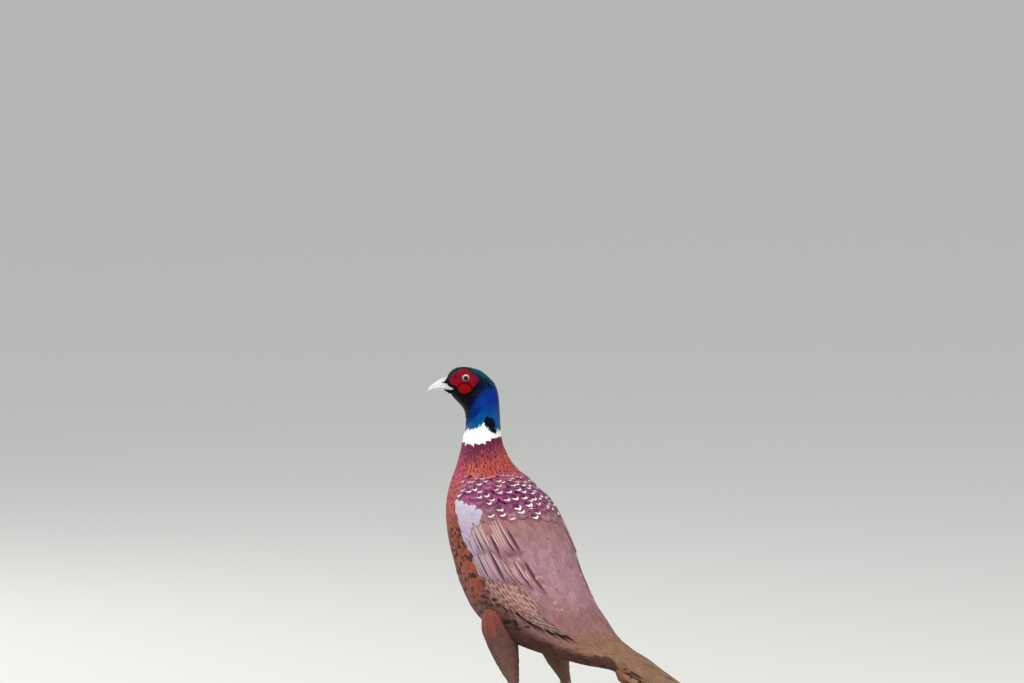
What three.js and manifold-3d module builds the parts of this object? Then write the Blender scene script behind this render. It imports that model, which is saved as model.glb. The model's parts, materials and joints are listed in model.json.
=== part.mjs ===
// A cock ring-necked pheasant standing alert on both feet, life size, in millimetres, +Z up.
// The body faces +X and the head is turned to the bird's left, so that the bill points between +X and +Y.
// Body, neck and head are one loft of sections from the bill to the tail root, parted by thin cuts.
import * as THREE from 'three';
import { mergeVertices } from 'three/addons/utils/BufferGeometryUtils.js';
import Module from 'manifold-3d';

const wasm = await Module();
wasm.setup();

// Clearance between two nodes that touch
const GAP = 0.3;
// How far the head is turned to the left of the body, in degrees
const HEAD_TURN = 57;
// Stations between which the neck twists from the body's heading to the head's
const TWIST_TOP = 7.5;
const TWIST_FOOT = 12.5;

// Sections of the body in its own mid plane, with x measured forward from the neck's axis and z from the
// floor. Each has the point on the back, the point on the front or belly, and half of the width.
const STATIONS = [
  { back: [46.5, 449.5], front: [46, 437.5], half: 6 }, // feathering round the bill's base
  { back: [44.2, 454.5], front: [44, 433.5], half: 9 },
  { back: [39.5, 460], front: [40.8, 430.8], half: 11.5 }, // forehead and chin
  { back: [33, 463.4], front: [37, 425.6], half: 13.8 },
  { back: [24, 464.2], front: [32.2, 420.8], half: 15.6 }, // over the eye
  { back: [13.5, 462.6], front: [28, 416.2], half: 16.8 },
  { back: [3, 458.8], front: [24.8, 411.6], half: 17.5 }, // crown and throat
  { back: [-6.4, 451], front: [23, 406.4], half: 18.1 },
  { back: [-13.2, 443.2], front: [22.4, 400.6], half: 18.7 }, // nape
  { back: [-16.9, 434.5], front: [22.2, 394.8], half: 19.3 },
  { back: [-18.7, 423], front: [22.4, 389.6], half: 20.1 },
  { back: [-19.5, 409], front: [23.2, 385.2], half: 20.8 },
  { back: [-20, 395.5], front: [25.2, 381.5], half: 21.6 }, // top of the white collar
  { back: [-20.6, 381], front: [28.4, 375], half: 23 },
  { back: [-24, 365], front: [30, 360], half: 25.8 }, // foot of the neck
  { back: [-42, 343], front: [36, 337], half: 34.4 },
  { back: [-78, 322], front: [42.6, 309], half: 49.4 }, // mantle and crop
  { back: [-110, 301.5], front: [46, 277], half: 57 },
  { back: [-139, 275.5], front: [40.5, 243], half: 58.4 }, // shoulders and breast
  { back: [-164.5, 248], front: [28.5, 209], half: 56 },
  { back: [-187, 220.5], front: [12, 178.5], half: 52.8 },
  { back: [-210, 199], front: [-15, 154.5], half: 49.2 }, // lower back and belly
  { back: [-231, 181], front: [-51, 137.5], half: 45.2 },
  { back: [-252, 167], front: [-95, 128], half: 42 },
  { back: [-270, 156.5], front: [-142, 122], half: 37 }, // rump and vent
  { back: [-287, 149], front: [-195, 118], half: 33 },
  { back: [-302, 143.5], front: [-252, 115.5], half: 29 },
  { back: [-316, 138.5], front: [-303, 115], half: 25 }, // tail root
];
const HEAD_END = 8.2;
const COLLAR_TOP = 12.1;
const COLLAR_FOOT = 13.6;
const BODY_END = STATIONS.length - 1;
// The share of a station between the ends of two neighbouring stretches, about the clearance
const END_CUT = 0.03;

const rad = THREE.MathUtils.degToRad;
const lerp = THREE.MathUtils.lerp;
const smooth = (x, low, high) => THREE.MathUtils.smoothstep(x, low, high);
const vec = (x, y, z) => new THREE.Vector3(x, y, z);

// The stations as smooth curves, read by station number
const curveOf = (points) => new THREE.CatmullRomCurve3(points, false, 'catmullrom', 0.5);
const backLine = curveOf(STATIONS.map((s) => vec(s.back[0], 0, s.back[1])));
const frontLine = curveOf(STATIONS.map((s) => vec(s.front[0], 0, s.front[1])));
const halfLine = curveOf(STATIONS.map((s) => vec(s.half, 0, 0)));
const at = (curve, s) => curve.getPoint(THREE.MathUtils.clamp(s / BODY_END, 0, 1));

// How far the section at station s is turned to the left, in radians
const turnAt = (s) => rad(HEAD_TURN) * (1 - smooth(s, TWIST_TOP, TWIST_FOOT));

// A point of the skin: theta is 0 on the back, 90 degrees on the bird's left and 180 on the belly
function skinPoint(s, theta) {
  const back = at(backLine, s);
  const front = at(frontLine, s);
  const half = at(halfLine, s).x;
  const point = back.clone().add(front).multiplyScalar(0.5);
  point.addScaledVector(back.sub(front), Math.cos(theta) / 2);
  point.y = half * Math.sin(theta);
  return point.applyAxisAngle(vec(0, 0, 1), turnAt(s));
}

// The skin's outward direction there, from small steps along and around the body
function skinNormal(s, theta) {
  const step = 0.02;
  const low = Math.max(s - step, 0);
  const high = Math.min(s + step, BODY_END);
  const along = skinPoint(high, theta).sub(skinPoint(low, theta));
  const around = skinPoint(s, theta + step).sub(skinPoint(s, theta - step));
  return around.cross(along).normalize();
}

// A point at the height lift over the skin
const onSkin = (s, theta, lift) => skinPoint(s, theta).addScaledVector(skinNormal(s, theta), lift);

// The station and angle of the left side's skin at a place in the mid plane, between two stations
function skinPlace(x, z, low, high) {
  const side = (s) => {
    const back = at(backLine, s);
    const front = at(frontLine, s);
    return (back.x - front.x) * (z - front.z) - (back.z - front.z) * (x - front.x);
  };
  let [a, b] = [low, high];
  for (let i = 0; i < 40; i++) {
    const middle = (a + b) / 2;
    if (Math.sign(side(middle)) === Math.sign(side(a))) a = middle;
    else b = middle;
  }
  const back = at(backLine, a);
  const front = at(frontLine, a);
  const span = back.clone().sub(front);
  const share = ((x - front.x) * span.x + (z - front.z) * span.z) / span.lengthSq();
  return { s: a, theta: Math.acos(THREE.MathUtils.clamp(2 * share - 1, -1, 1)) };
}

// A closed solid through rings of equal count, with a fan at each end, or joined from last to first
class LoftGeometry extends THREE.BufferGeometry {
  constructor(rings, closed = false) {
    super();
    const sides = rings[0].length;
    const spans = closed ? rings.length : rings.length - 1;
    const points = rings.flat();
    const faces = [];
    for (let i = 0; i < spans; i++) {
      const next = ((i + 1) % rings.length) * sides;
      for (let j = 0; j < sides; j++) {
        const k = (j + 1) % sides;
        faces.push(i * sides + j, i * sides + k, next + k, i * sides + j, next + k, next + j);
      }
    }
    if (!closed) {
      const middle = (ring) => ring.reduce((sum, p) => sum.add(p), vec(0, 0, 0)).divideScalar(sides);
      points.push(middle(rings[0]), middle(rings.at(-1)));
      const fan = rings.length * sides;
      const last = fan - sides;
      for (let j = 0; j < sides; j++) {
        const k = (j + 1) % sides;
        faces.push(fan, k, j, fan + 1, last + j, last + k);
      }
    }
    this.setAttribute('position', new THREE.Float32BufferAttribute(points.flatMap((p) => p.toArray()), 3));
    this.setIndex(faces);
  }
}

// A closed sheet over a grid of points, each with its outward direction and thickness. Both faces are
// split into triangles alike, so that a thin sheet can curve without crossing itself.
class SheetGeometry extends THREE.BufferGeometry {
  constructor(grid) {
    super();
    const rows = grid.length;
    const columns = grid[0].length;
    const face = (sign) =>
      grid.flat().map((g) => g.point.clone().addScaledVector(g.normal, (sign * g.thick) / 2));
    const points = [...face(1), ...face(-1)];
    const under = rows * columns;
    const faces = [];
    const wall = (a, b) => faces.push(a, b + under, b, a, a + under, b + under);
    for (let i = 0; i + 1 < rows; i++) {
      for (let j = 0; j + 1 < columns; j++) {
        const a = i * columns + j;
        const c = a + columns + 1;
        faces.push(a, a + 1, c, a, c, c - 1);
        faces.push(a + under, c + under, a + 1 + under, a + under, c - 1 + under, c + under);
      }
      wall((i + 1) * columns, i * columns);
      wall(i * columns + columns - 1, (i + 1) * columns + columns - 1);
    }
    for (let j = 0; j + 1 < columns; j++) {
      wall(j, j + 1);
      wall((rows - 1) * columns + j + 1, (rows - 1) * columns + j);
    }
    this.setAttribute('position', new THREE.Float32BufferAttribute(points.flatMap((p) => p.toArray()), 3));
    this.setIndex(faces);
  }
}

// A closed geometry as a solid, turned the right way out
function solidOf(geometry) {
  const bare = geometry.index ? geometry.toNonIndexed() : geometry.clone();
  bare.deleteAttribute('normal');
  bare.deleteAttribute('uv');
  const merged = mergeVertices(bare, 1e-4);
  const triVerts = new Uint32Array(merged.index.array);
  const make = () =>
    new wasm.Manifold(
      new wasm.Mesh({ numProp: 3, vertProperties: merged.attributes.position.array, triVerts }),
    );
  const made = make();
  if (made.volume() > 0) return made;
  for (let i = 0; i < triVerts.length; i += 3) {
    [triVerts[i + 1], triVerts[i + 2]] = [triVerts[i + 2], triVerts[i + 1]];
  }
  return make();
}

const joined = (solids) => solids.reduce((sum, s) => sum.add(s));
const largest = (solid) =>
  solid.decompose().reduce((best, s) => (s.volume() > best.volume() ? s : best));

function geometryOf(solid) {
  const mesh = largest(solid).getMesh();
  const geometry = new THREE.BufferGeometry();
  geometry.setAttribute('position', new THREE.BufferAttribute(mesh.vertProperties, 3));
  geometry.setIndex(new THREE.BufferAttribute(mesh.triVerts, 1));
  const shown = geometry.toNonIndexed();
  shown.computeVertexNormals();
  return shown;
}

// A ball with its own size along each axis, turned about Z and placed
function ball(radii, centre, turn = 0, detail = 16) {
  const geometry = new THREE.SphereGeometry(1, detail, Math.ceil(detail * 0.6));
  geometry.scale(...radii);
  geometry.rotateZ(turn);
  geometry.translate(centre.x, centre.y, centre.z);
  return solidOf(geometry);
}

// The stretch of the body between two stations. Grown by a clearance, it also runs on past both ends.
function bodyStretch(from, to, rows, sides, grow = 0) {
  const stations = [];
  for (let i = 0; i <= rows; i++) stations.push(lerp(from, to, i / rows));
  if (grow) {
    stations.unshift(Math.max(0, from - 0.3));
    stations.push(to + END_CUT);
  }
  return solidOf(
    new LoftGeometry(
      stations.map((s) => {
        const ring = [];
        for (let j = 0; j < sides; j++) ring.push(onSkin(s, (2 * Math.PI * j) / sides, grow));
        return ring;
      }),
    ),
  );
}

// A round limb along a curve: radius(u) gives [fore and aft, sideways] at the share u of its length
function limb(points, radius, rows, sides) {
  const curve = new THREE.CatmullRomCurve3(points, false, 'centripetal');
  const rings = [];
  for (let i = 0; i <= rows; i++) {
    const u = i / rows;
    const centre = curve.getPointAt(u);
    const along = curve.getTangentAt(u);
    const across = vec(0, 1, 0).addScaledVector(along, -along.y).normalize();
    const ahead = across.clone().cross(along);
    const [deep, wide] = radius(u);
    const ring = [];
    for (let j = 0; j < sides; j++) {
      const a = (2 * Math.PI * (j + 0.5)) / sides;
      ring.push(
        centre.clone().addScaledVector(ahead, deep * Math.cos(a)).addScaledVector(across, wide * Math.sin(a)),
      );
    }
    rings.push(ring);
  }
  return solidOf(new LoftGeometry(rings));
}

// Mirrors a solid from the bird's left to its right
const mirrored = (solid) => solid.mirror([0, 1, 0]);

const group = new THREE.Group();
const finishes = {};
function finish(name, colour, roughness, metalness = 0) {
  finishes[name] ??= new THREE.MeshStandardMaterial({ name, color: colour, roughness, metalness });
  return finishes[name];
}
function place(name, solid, material) {
  const mesh = new THREE.Mesh(geometryOf(solid), material);
  mesh.name = name;
  group.add(mesh);
}

const glossyFeather = finish('glossy_neck_feather', 0x123a6b, 0.35);
const whiteFeather = finish('white_collar_feather', 0xf2f1ee, 0.7);
const copperFeather = finish('copper_body_feather', 0x9c3f2c, 0.6);
const wingFeather = finish('wing_feather', 0x9a7f86, 0.65);
const tailFeather = finish('tail_feather', 0xa58a62, 0.65);
const bareSkin = finish('red_facial_skin', 0xb01522, 0.5);
const hornBill = finish('pale_horn', 0xe6ddcf, 0.4);
const eyeGlass = finish('eye', 0x2a1c12, 0.1);
const legScale = finish('leg_scale', 0x8f8780, 0.55);
const darkClaw = finish('dark_claw', 0x4a4039, 0.4);

// HEAD
// A place in the head's own mid plane, with y to the bird's left, turned with the head
const headPoint = (forward, left, up) => vec(forward, left, up).applyAxisAngle(vec(0, 0, 1), rad(HEAD_TURN));
const EYE_AT = [22.4, 451.8];
const EYE_RADIUS = 5.4;
const EYE_STANDS_OUT = 1.9;
const eyePlace = skinPlace(...EYE_AT, 0.5, 8);
const eyeHalf = at(halfLine, eyePlace.s).x * Math.sin(eyePlace.theta);
const eyeCentre = (side) => headPoint(EYE_AT[0], side * (eyeHalf - EYE_RADIUS + EYE_STANDS_OUT), EYE_AT[1]);
const socket = (side) => ball(Array(3).fill(EYE_RADIUS + GAP), eyeCentre(side), 0, 14);

const headSolid = bodyStretch(0.01, HEAD_END - END_CUT, 16, 28);
const headGrown = bodyStretch(0.01, HEAD_END - END_CUT, 16, 28, GAP);
place('head', headSolid.subtract(socket(1)).subtract(socket(-1)), glossyFeather);
for (const [side, name] of [[1, 'left'], [-1, 'right']]) {
  place('eye_' + name, ball(Array(3).fill(EYE_RADIUS), eyeCentre(side), 0, 14), eyeGlass);
}

// WATTLES
// Bare red skin round each eye, in two lobes with a crease between them, and the lids as a raised rim
const WATTLE_OUTLINE = [
  // Angle round the eye in degrees, 0 towards the bill and 90 up, and the distance from the eye
  [0, 19], [18, 15.6], [40, 12.6], [70, 10.4], [106, 9.2], [150, 8.2], [180, 15.6], [194, 17.5],
  [212, 16.5], [232, 14.6], [250, 18.6], [270, 20.2], [290, 19.3], [308, 17.2], [320, 14.6], [336, 19.6],
  [350, 20.8],
];
const LOWER_LOBE = { at: [0.6, -12.6], radius: 8.9, swell: 3 };
const UPPER_SWELL = 1.3;
const WATTLE_EDGE = 0.4;
const WATTLE_CLEAR = 0.5;
const LID = { radius: EYE_RADIUS + 0.4, height: 1.7, width: 1.5 };
function wattleReach(angle) {
  const list = WATTLE_OUTLINE;
  const i = list.findLastIndex((p) => p[0] <= angle);
  const [a0, r0] = list[i];
  const [a1, r1] = i + 1 < list.length ? list[i + 1] : [360, list[0][1]];
  return lerp(r0, r1, (angle - a0) / (a1 - a0));
}
function wattleHeight(u, w, share) {
  const [cu, cw] = LOWER_LOBE.at;
  const q = Math.hypot(u - cu, w - cw) / LOWER_LOBE.radius;
  const lower = q < 1 ? LOWER_LOBE.swell * Math.sqrt(1 - q * q) : 0;
  const upper = UPPER_SWELL * Math.sqrt(Math.max(0, 1 - share * share)) * smooth(w, -7, -4);
  const rim = (Math.hypot(u, w) - LID.radius) / LID.width;
  return WATTLE_EDGE + Math.max(lower, upper, LID.height * (1 - rim * rim));
}
function wattle() {
  const spokes = 30;
  const steps = [0.02, 0.12, 0.3, 0.52, 0.74, 0.92, 1];
  const rings = [];
  for (let i = 0; i < spokes; i++) {
    const angle = (360 * i) / spokes;
    const reach = wattleReach(angle);
    const at2 = (share) => {
      const r = lerp(LID.radius - 0.1, reach, share);
      return [r * Math.cos(rad(angle)), r * Math.sin(rad(angle))];
    };
    const spot = (share, lift) => {
      const [u, w] = at2(share);
      const where = skinPlace(EYE_AT[0] + u, EYE_AT[1] + w, 0.2, 9);
      return onSkin(where.s, where.theta, WATTLE_CLEAR + lift);
    };
    const over = steps.map((share) => spot(share, wattleHeight(...at2(share), share)));
    rings.push([...over, spot(1, 0), spot(0.5, 0), spot(0, 0)]);
  }
  return solidOf(new LoftGeometry(rings, true)).subtract(socket(1));
}
const headFlip = (solid) => solid.rotate([0, 0, -HEAD_TURN]).mirror([0, 1, 0]).rotate([0, 0, HEAD_TURN]);
place('wattle_left', wattle(), bareSkin);
place('wattle_right', headFlip(wattle()), bareSkin);

// BILL
// Both halves are lofts along the head's forward axis, cut back by the face. The line between is the mouth.
const BILL_ROOT = 36;
const BILL_TIP = 69;
const MOUTH = [[36, 438.2], [48, 438.8], [58, 438.6], [65, 437.2], [69, 434.6]];
const CULMEN = [[36, 455], [45.5, 452.8], [52.6, 450.2], [60.6, 445.2], [66, 440.4], [69, 435.2]];
const KEEL = [[36, 432.6], [48, 432.8], [58, 434], [63, 435.6], [65.8, 437]];
const heightOn = (line, x) => {
  const i = Math.max(1, line.findIndex((p) => p[0] >= x - 1e-6));
  return lerp(line[i - 1][1], line[i][1], (x - line[i - 1][0]) / (line[i][0] - line[i - 1][0]));
};
function billHalf(top, foot, tip, width, rows, power) {
  const rings = [];
  const sides = 12;
  for (let i = 0; i <= rows; i++) {
    const u = i / rows;
    const x = lerp(BILL_ROOT, tip, 1 - (1 - u) ** 1.3);
    const [high, low] = [top(x), foot(x)];
    const half = width * Math.sqrt(Math.max(0.02, 1 - ((x - BILL_ROOT) / (tip + 0.8 - BILL_ROOT)) ** power));
    const ring = [];
    for (let j = 0; j < sides; j++) {
      const a = (Math.PI * j) / (sides - 1);
      ring.push(headPoint(x, half * Math.cos(a), lerp(low, high, Math.sin(a))));
    }
    rings.push(ring);
  }
  return solidOf(new LoftGeometry(rings));
}
const mouthAt = (x) => heightOn(MOUTH, x);
const upperBill = billHalf((x) => heightOn(CULMEN, x), mouthAt, BILL_TIP, 7.4, 9, 1.6);
const lowerBill = billHalf((x) => heightOn(KEEL, x), (x) => mouthAt(x) - GAP, 65.8, 6.4, 8, 1.8);
const nostril = (side) => ball([2.6, 1.6, 1.1], headPoint(50.2, side * 6, 445.4), rad(HEAD_TURN), 10);
place('bill_upper', upperBill.subtract(headGrown).subtract(nostril(1)).subtract(nostril(-1)), hornBill);
place('bill_lower', lowerBill.subtract(headGrown), hornBill);

// EAR TUFTS
// Small horns of feathers behind each eye, lying back and down along the head, with their points on the nape
const TUFT_LOCKS = [
  // The root in the head's mid plane, and the station and angle of the point on the nape
  { root: [1, 454.4], tip: [8.1, 26] },
  { root: [-2, 450.2], tip: [8.3, 40] },
];
const TUFT_LIFT = { middle: 3.3, tip: 2.9 };
function earTuft() {
  const locks = TUFT_LOCKS.map(({ root: [x, z], tip: [tipS, tipAngle] }) => {
    const root = skinPlace(x, z, 0.2, 10);
    const path = [
      onSkin(root.s, root.theta, -1),
      onSkin(lerp(root.s, tipS, 0.5), lerp(root.theta, rad(tipAngle), 0.5), TUFT_LIFT.middle),
      onSkin(tipS, rad(tipAngle), TUFT_LIFT.tip),
    ];
    return limb(path, (u) => [1.3 * (1 - u) + 0.35, 2.7 * (1 - u) ** 0.7 + 0.35], 5, 6);
  });
  return joined(locks).subtract(bodyStretch(0, 12, 24, 28, GAP));
}
place('ear_tuft_left', earTuft(), glossyFeather);
place('ear_tuft_right', headFlip(earTuft()), glossyFeather);

// NECK, COLLAR AND TORSO
place('neck', bodyStretch(HEAD_END + END_CUT, COLLAR_TOP - END_CUT / 2, 10, 28), glossyFeather);
place('collar', bodyStretch(COLLAR_TOP + END_CUT / 2, COLLAR_FOOT - 0.012, 4, 28), whiteFeather);
const torso = bodyStretch(COLLAR_FOOT + 0.012, BODY_END - END_CUT, 24, 28);
const torsoGrown = bodyStretch(COLLAR_FOOT + 0.012, BODY_END - END_CUT, 24, 28, GAP);
place('torso', torso, copperFeather);

// VANES
// Rows along a vane as shares of its length, and its half width there as shares of the widest
const VANE_ROWS = [0, 0.3, 0.68, 0.91, 1];
const VANE_SHAPE = [0.55, 0.92, 1, 0.66, 0.2];
const VANE_THICK = 0.8;
// How far the two edges of a vane lie under the shaft
const VANE_CAMBER = 0.25;
const pick = (random, low, high) => low + (high - low) * random();
function seeded(seed) {
  let state = seed;
  return () => {
    state = (state * 1664525 + 1013904223) % 4294967296;
    return state / 4294967296;
  };
}

// A vane that follows the skin from root to tip, both [station, angle in degrees], its width in millimetres.
// lift(u) is the height of its underside, and tilt raises its lower edge and drops its upper one.
function skinVane({ root, tip, half, lift, tilt }) {
  const grid = VANE_ROWS.map((u, i) => {
    const s = lerp(root[0], tip[0], u);
    const theta = rad(lerp(root[1], tip[1], u ** 1.15));
    const perRadian = skinPoint(s, theta + 0.05).distanceTo(skinPoint(s, theta - 0.05)) / 0.1;
    return [-1, 0, 1].map((v) => {
      const angle = theta + (v * half * VANE_SHAPE[i]) / perRadian;
      const height = lift(u) + tilt * v * VANE_SHAPE[i] - VANE_CAMBER * v * v + VANE_THICK / 2;
      const thick = lerp(VANE_THICK, VANE_THICK * 0.7, u);
      return { point: onSkin(s, angle, height), normal: skinNormal(s, angle), thick };
    });
  });
  return solidOf(new SheetGeometry(grid));
}

// WINGS
// The folded wing lies on the flank. Its arm is a smooth swelling from the bend backwards, and the tiers
// of feathers are rooted in it, each feather's lower edge over the upper edge of the next one down.
const ARM_SPAN = [16.35, 19.2];
const ARM_LOWER = [[16.3, 87], [17, 88], [18, 88], [19.5, 88]];
const ARM_UPPER = [[16.3, 62], [17.2, 46], [18.2, 38], [19.5, 34]];
const ARM_BULK = 9;
const edgeAt = (line, s) => {
  const i = Math.max(1, line.findIndex((p) => p[0] >= s - 1e-9));
  return rad(lerp(line[i - 1][1], line[i][1], (s - line[i - 1][0]) / (line[i][0] - line[i - 1][0])));
};
function arm() {
  const [rows, columns] = [8, 6];
  const grid = [];
  for (let i = 0; i <= rows; i++) {
    const u = i / rows;
    const s = lerp(...ARM_SPAN, u);
    const row = [];
    for (let j = 0; j <= columns; j++) {
      const v = j / columns;
      const theta = lerp(edgeAt(ARM_UPPER, s), edgeAt(ARM_LOWER, s), v);
      const round = Math.sin(Math.PI * lerp(0.05, 0.95, v)) ** 0.55;
      const thick = 1.2 + ARM_BULK * round * smooth(u, -0.25, 0.45) * (1 - smooth(u, 0.6, 1.15));
      row.push({ point: onSkin(s, theta, GAP + thick / 2), normal: skinNormal(s, theta), thick });
    }
    grid.push(row);
  }
  return solidOf(new SheetGeometry(grid));
}
// Each tier runs from its lowest feather to its highest: stations and angles of the roots and tips, the half
// width, the height of the lowest feather's underside at root and tip, and how fast the tips run back
const TIERS = [
  // Primaries
  {
    count: 4,
    root: [[18.3, 76], [18.3, 58]],
    tip: [[23.3, 66], [24.6, 44]],
    half: 9,
    lifts: [1.6, 1.2],
    run: 1,
  },
  // Secondaries
  {
    count: 7,
    root: [[18.2, 84], [18.3, 44]],
    tip: [[21.1, 83], [23.8, 33]],
    half: 9.6,
    lifts: [4.7, 3.8],
    run: 1,
  },
  // Greater coverts and tertials
  {
    count: 8,
    root: [[17.6, 84], [17.9, 40]],
    tip: [[19.9, 86], [22.4, 30]],
    half: 9.6,
    lifts: [7.7, 6.6],
    run: 2.2,
  },
];
// How much higher each feather of a tier lies than the one below it, and how far its edges are tipped
const TIER_RISE = 0.3;
const TIER_TILT = 1.05;
function wing() {
  const random = seeded(7);
  const pieces = [arm()];
  for (const { count, root, tip, half, lifts, run } of TIERS) {
    for (let k = 0; k < count; k++) {
      const share = k / (count - 1);
      const between = ([low, high], power) => [
        lerp(low[0], high[0], share ** power),
        lerp(low[1], high[1], share),
      ];
      const end = between(tip, run);
      end[0] += pick(random, -0.07, 0.07);
      pieces.push(
        skinVane({
          root: between(root, 1),
          tip: end,
          half: half * pick(random, 0.97, 1.03),
          lift: (u) => lerp(lifts[0], lifts[1], u) + TIER_RISE * k,
          tilt: TIER_TILT,
        }),
      );
    }
  }
  return joined(pieces);
}
place('wing_left', wing(), wingFeather);
place('wing_right', mirrored(wing()), wingFeather);

// TAIL
// Nine pairs of long graduated feathers laid like a roof, the middle pair longest and on top, with soft
// coverts over their roots. All are rooted in a short stump at the end of the body.
const TAIL_LENGTHS = [480, 428, 366, 306, 250, 204, 166, 136, 112];
const TAIL_ROOT = { x: -330, z: 129 };
const TAIL_DROOP = 15;
const TAIL_CURVE = 6;
const TAIL_STEP = 1.45;
const ROOF_SLOPE = 20;
const TAIL_HALF = 16.5;
// The soft coverts over each side's roots
const TAIL_COVERTS = [
  { length: 128, slope: 0, inner: 0.6, level: 4.3 },
  { length: 104, slope: ROOF_SLOPE, inner: 12, level: 1.5 },
  { length: 82, slope: 32, inner: 17, level: 1.6 },
];
const COVERT_HALF = 10;
// The ridge of the tail at a distance from its root, with the way it runs there
function ridge(distance) {
  const steps = 12;
  const point = vec(TAIL_ROOT.x, 0, TAIL_ROOT.z);
  let ahead = vec(-1, 0, 0);
  for (let i = 0; i < steps; i++) {
    const fall = rad(TAIL_DROOP - (TAIL_CURVE * distance * (i + 0.5)) / steps / TAIL_LENGTHS[0]);
    ahead = vec(-Math.cos(fall), 0, -Math.sin(fall));
    point.addScaledVector(ahead, distance / steps);
  }
  return { point, ahead };
}
// A vane on one slope of the roof: spread is its angle away from the ridge, inner its gap to the ridge, and
// level its height over the slope's top layer
function tailVane({ side, length, half, slope, spread, inner, level, start = 0, blunt = 0 }) {
  const rows = length > 240 ? 5 : 4;
  const grid = [];
  for (let i = 0; i <= rows; i++) {
    const u = 1 - (1 - i / rows) ** 1.15;
    const distance = start + length * u;
    const { point, ahead } = ridge(distance);
    const across = vec(0, side * Math.cos(rad(slope)), -Math.sin(rad(slope)));
    const normal = across.clone().cross(ahead).normalize();
    normal.multiplyScalar(Math.sign(normal.z));
    const taper = (1 - (0.55 - blunt) * u) * (1 - smooth(u, 0.76, 1.03));
    const wide = half * smooth(length * u, -70, 35) * taper;
    const middle = inner + wide + length * u * Math.sin(rad(spread));
    const thick = lerp(0.8, 0.5, u);
    grid.push(
      [-1, 0, 1].map((v) => ({
        point: point
          .clone()
          .addScaledVector(across, middle + v * wide)
          .addScaledVector(normal, level - (VANE_CAMBER * v * v * wide) / half),
        normal,
        thick,
      })),
    );
  }
  return solidOf(new SheetGeometry(grid));
}
const STUMP = { length: 40, sides: 14 };
const stump = (() => {
  const back = skinPoint(BODY_END, 0);
  const front = skinPoint(BODY_END, Math.PI);
  const out = vec(front.z - back.z, 0, back.x - front.x).normalize();
  const middle = back.clone().add(front).multiplyScalar(0.5).addScaledVector(out, GAP);
  const { ahead } = ridge(0);
  const rings = [[0, 0.98], [0.4, 0.94], [0.75, 0.78], [1, 0.45]].map(([u, shrink]) => {
    const ring = [];
    for (let j = 0; j < STUMP.sides; j++) {
      const rim = skinPoint(BODY_END, (2 * Math.PI * j) / STUMP.sides).addScaledVector(out, GAP);
      ring.push(rim.sub(middle).multiplyScalar(shrink).add(middle).addScaledVector(ahead, STUMP.length * u));
    }
    return ring;
  });
  return solidOf(new LoftGeometry(rings));
})();
function tail() {
  const random = seeded(23);
  const pieces = [stump];
  for (const side of [1, -1]) {
    TAIL_LENGTHS.forEach((full, i) => {
      const length = full * pick(random, 0.985, 1.01);
      if (i === 0) {
        const level = side > 0 ? 2.8 : 1.4;
        pieces.push(tailVane({ side, length, half: TAIL_HALF, slope: 0, spread: 0.9, inner: -8, level }));
      } else {
        const level = -TAIL_STEP * (i - 1);
        const spread = 0.5 + 0.75 * i;
        const blunt = 0.2;
        pieces.push(
          tailVane({ side, length, half: TAIL_HALF, slope: ROOF_SLOPE, spread, inner: 0.8, level, blunt }),
        );
      }
    });
    for (const { length: full, slope, inner, level } of TAIL_COVERTS) {
      const length = full * pick(random, 0.94, 1.06);
      pieces.push(
        tailVane({ side, length, half: COVERT_HALF, slope, spread: 3, inner, level, start: -6, blunt: 0.4 }),
      );
    }
  }
  return joined(pieces);
}
place('tail', tail(), tailFeather);

// LEGS
const LEG_Y = 36;
const HEEL = vec(-125, LEG_Y + 2, 82);
const FOOT_AT = vec(-97, LEG_Y + 4, 9);
const hip = vec(-84, LEG_Y - 6, 178);
const knee = vec(-94, LEG_Y - 1, 142);
const calf = vec(-112, LEG_Y + 1, 108);
const thigh = limb(
  [hip, knee, calf, HEEL.clone().add(vec(-1, 0, 4))],
  (u) => [lerp(40, 6.4, u ** 0.8), lerp(25, 5.4, u ** 0.85)],
  9,
  14,
).subtract(torsoGrown);
const shank = limb(
  [
    HEEL.clone().add(vec(-1.2, 0, 3.4)),
    HEEL.clone().add(vec(1, 0, -6)),
    HEEL.clone().lerp(FOOT_AT, 0.6),
    FOOT_AT,
  ],
  (u) => {
    const scute = 0.35 * (1 - ((u * 12) % 1));
    const knuckle = 1.6 * (1 - smooth(u, 0, 0.14)) + 1.2 * smooth(u, 0.84, 1);
    return [4.1 + knuckle + scute, 3.3 + knuckle + scute * 0.6];
  },
  22,
  8,
);
const thighCut = limb(
  [HEEL.clone().add(vec(-2.2, 0, 6.2)), HEEL.clone().add(vec(1, 0, -6))],
  () => [7.5, 7.5],
  1,
  12,
);

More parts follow.
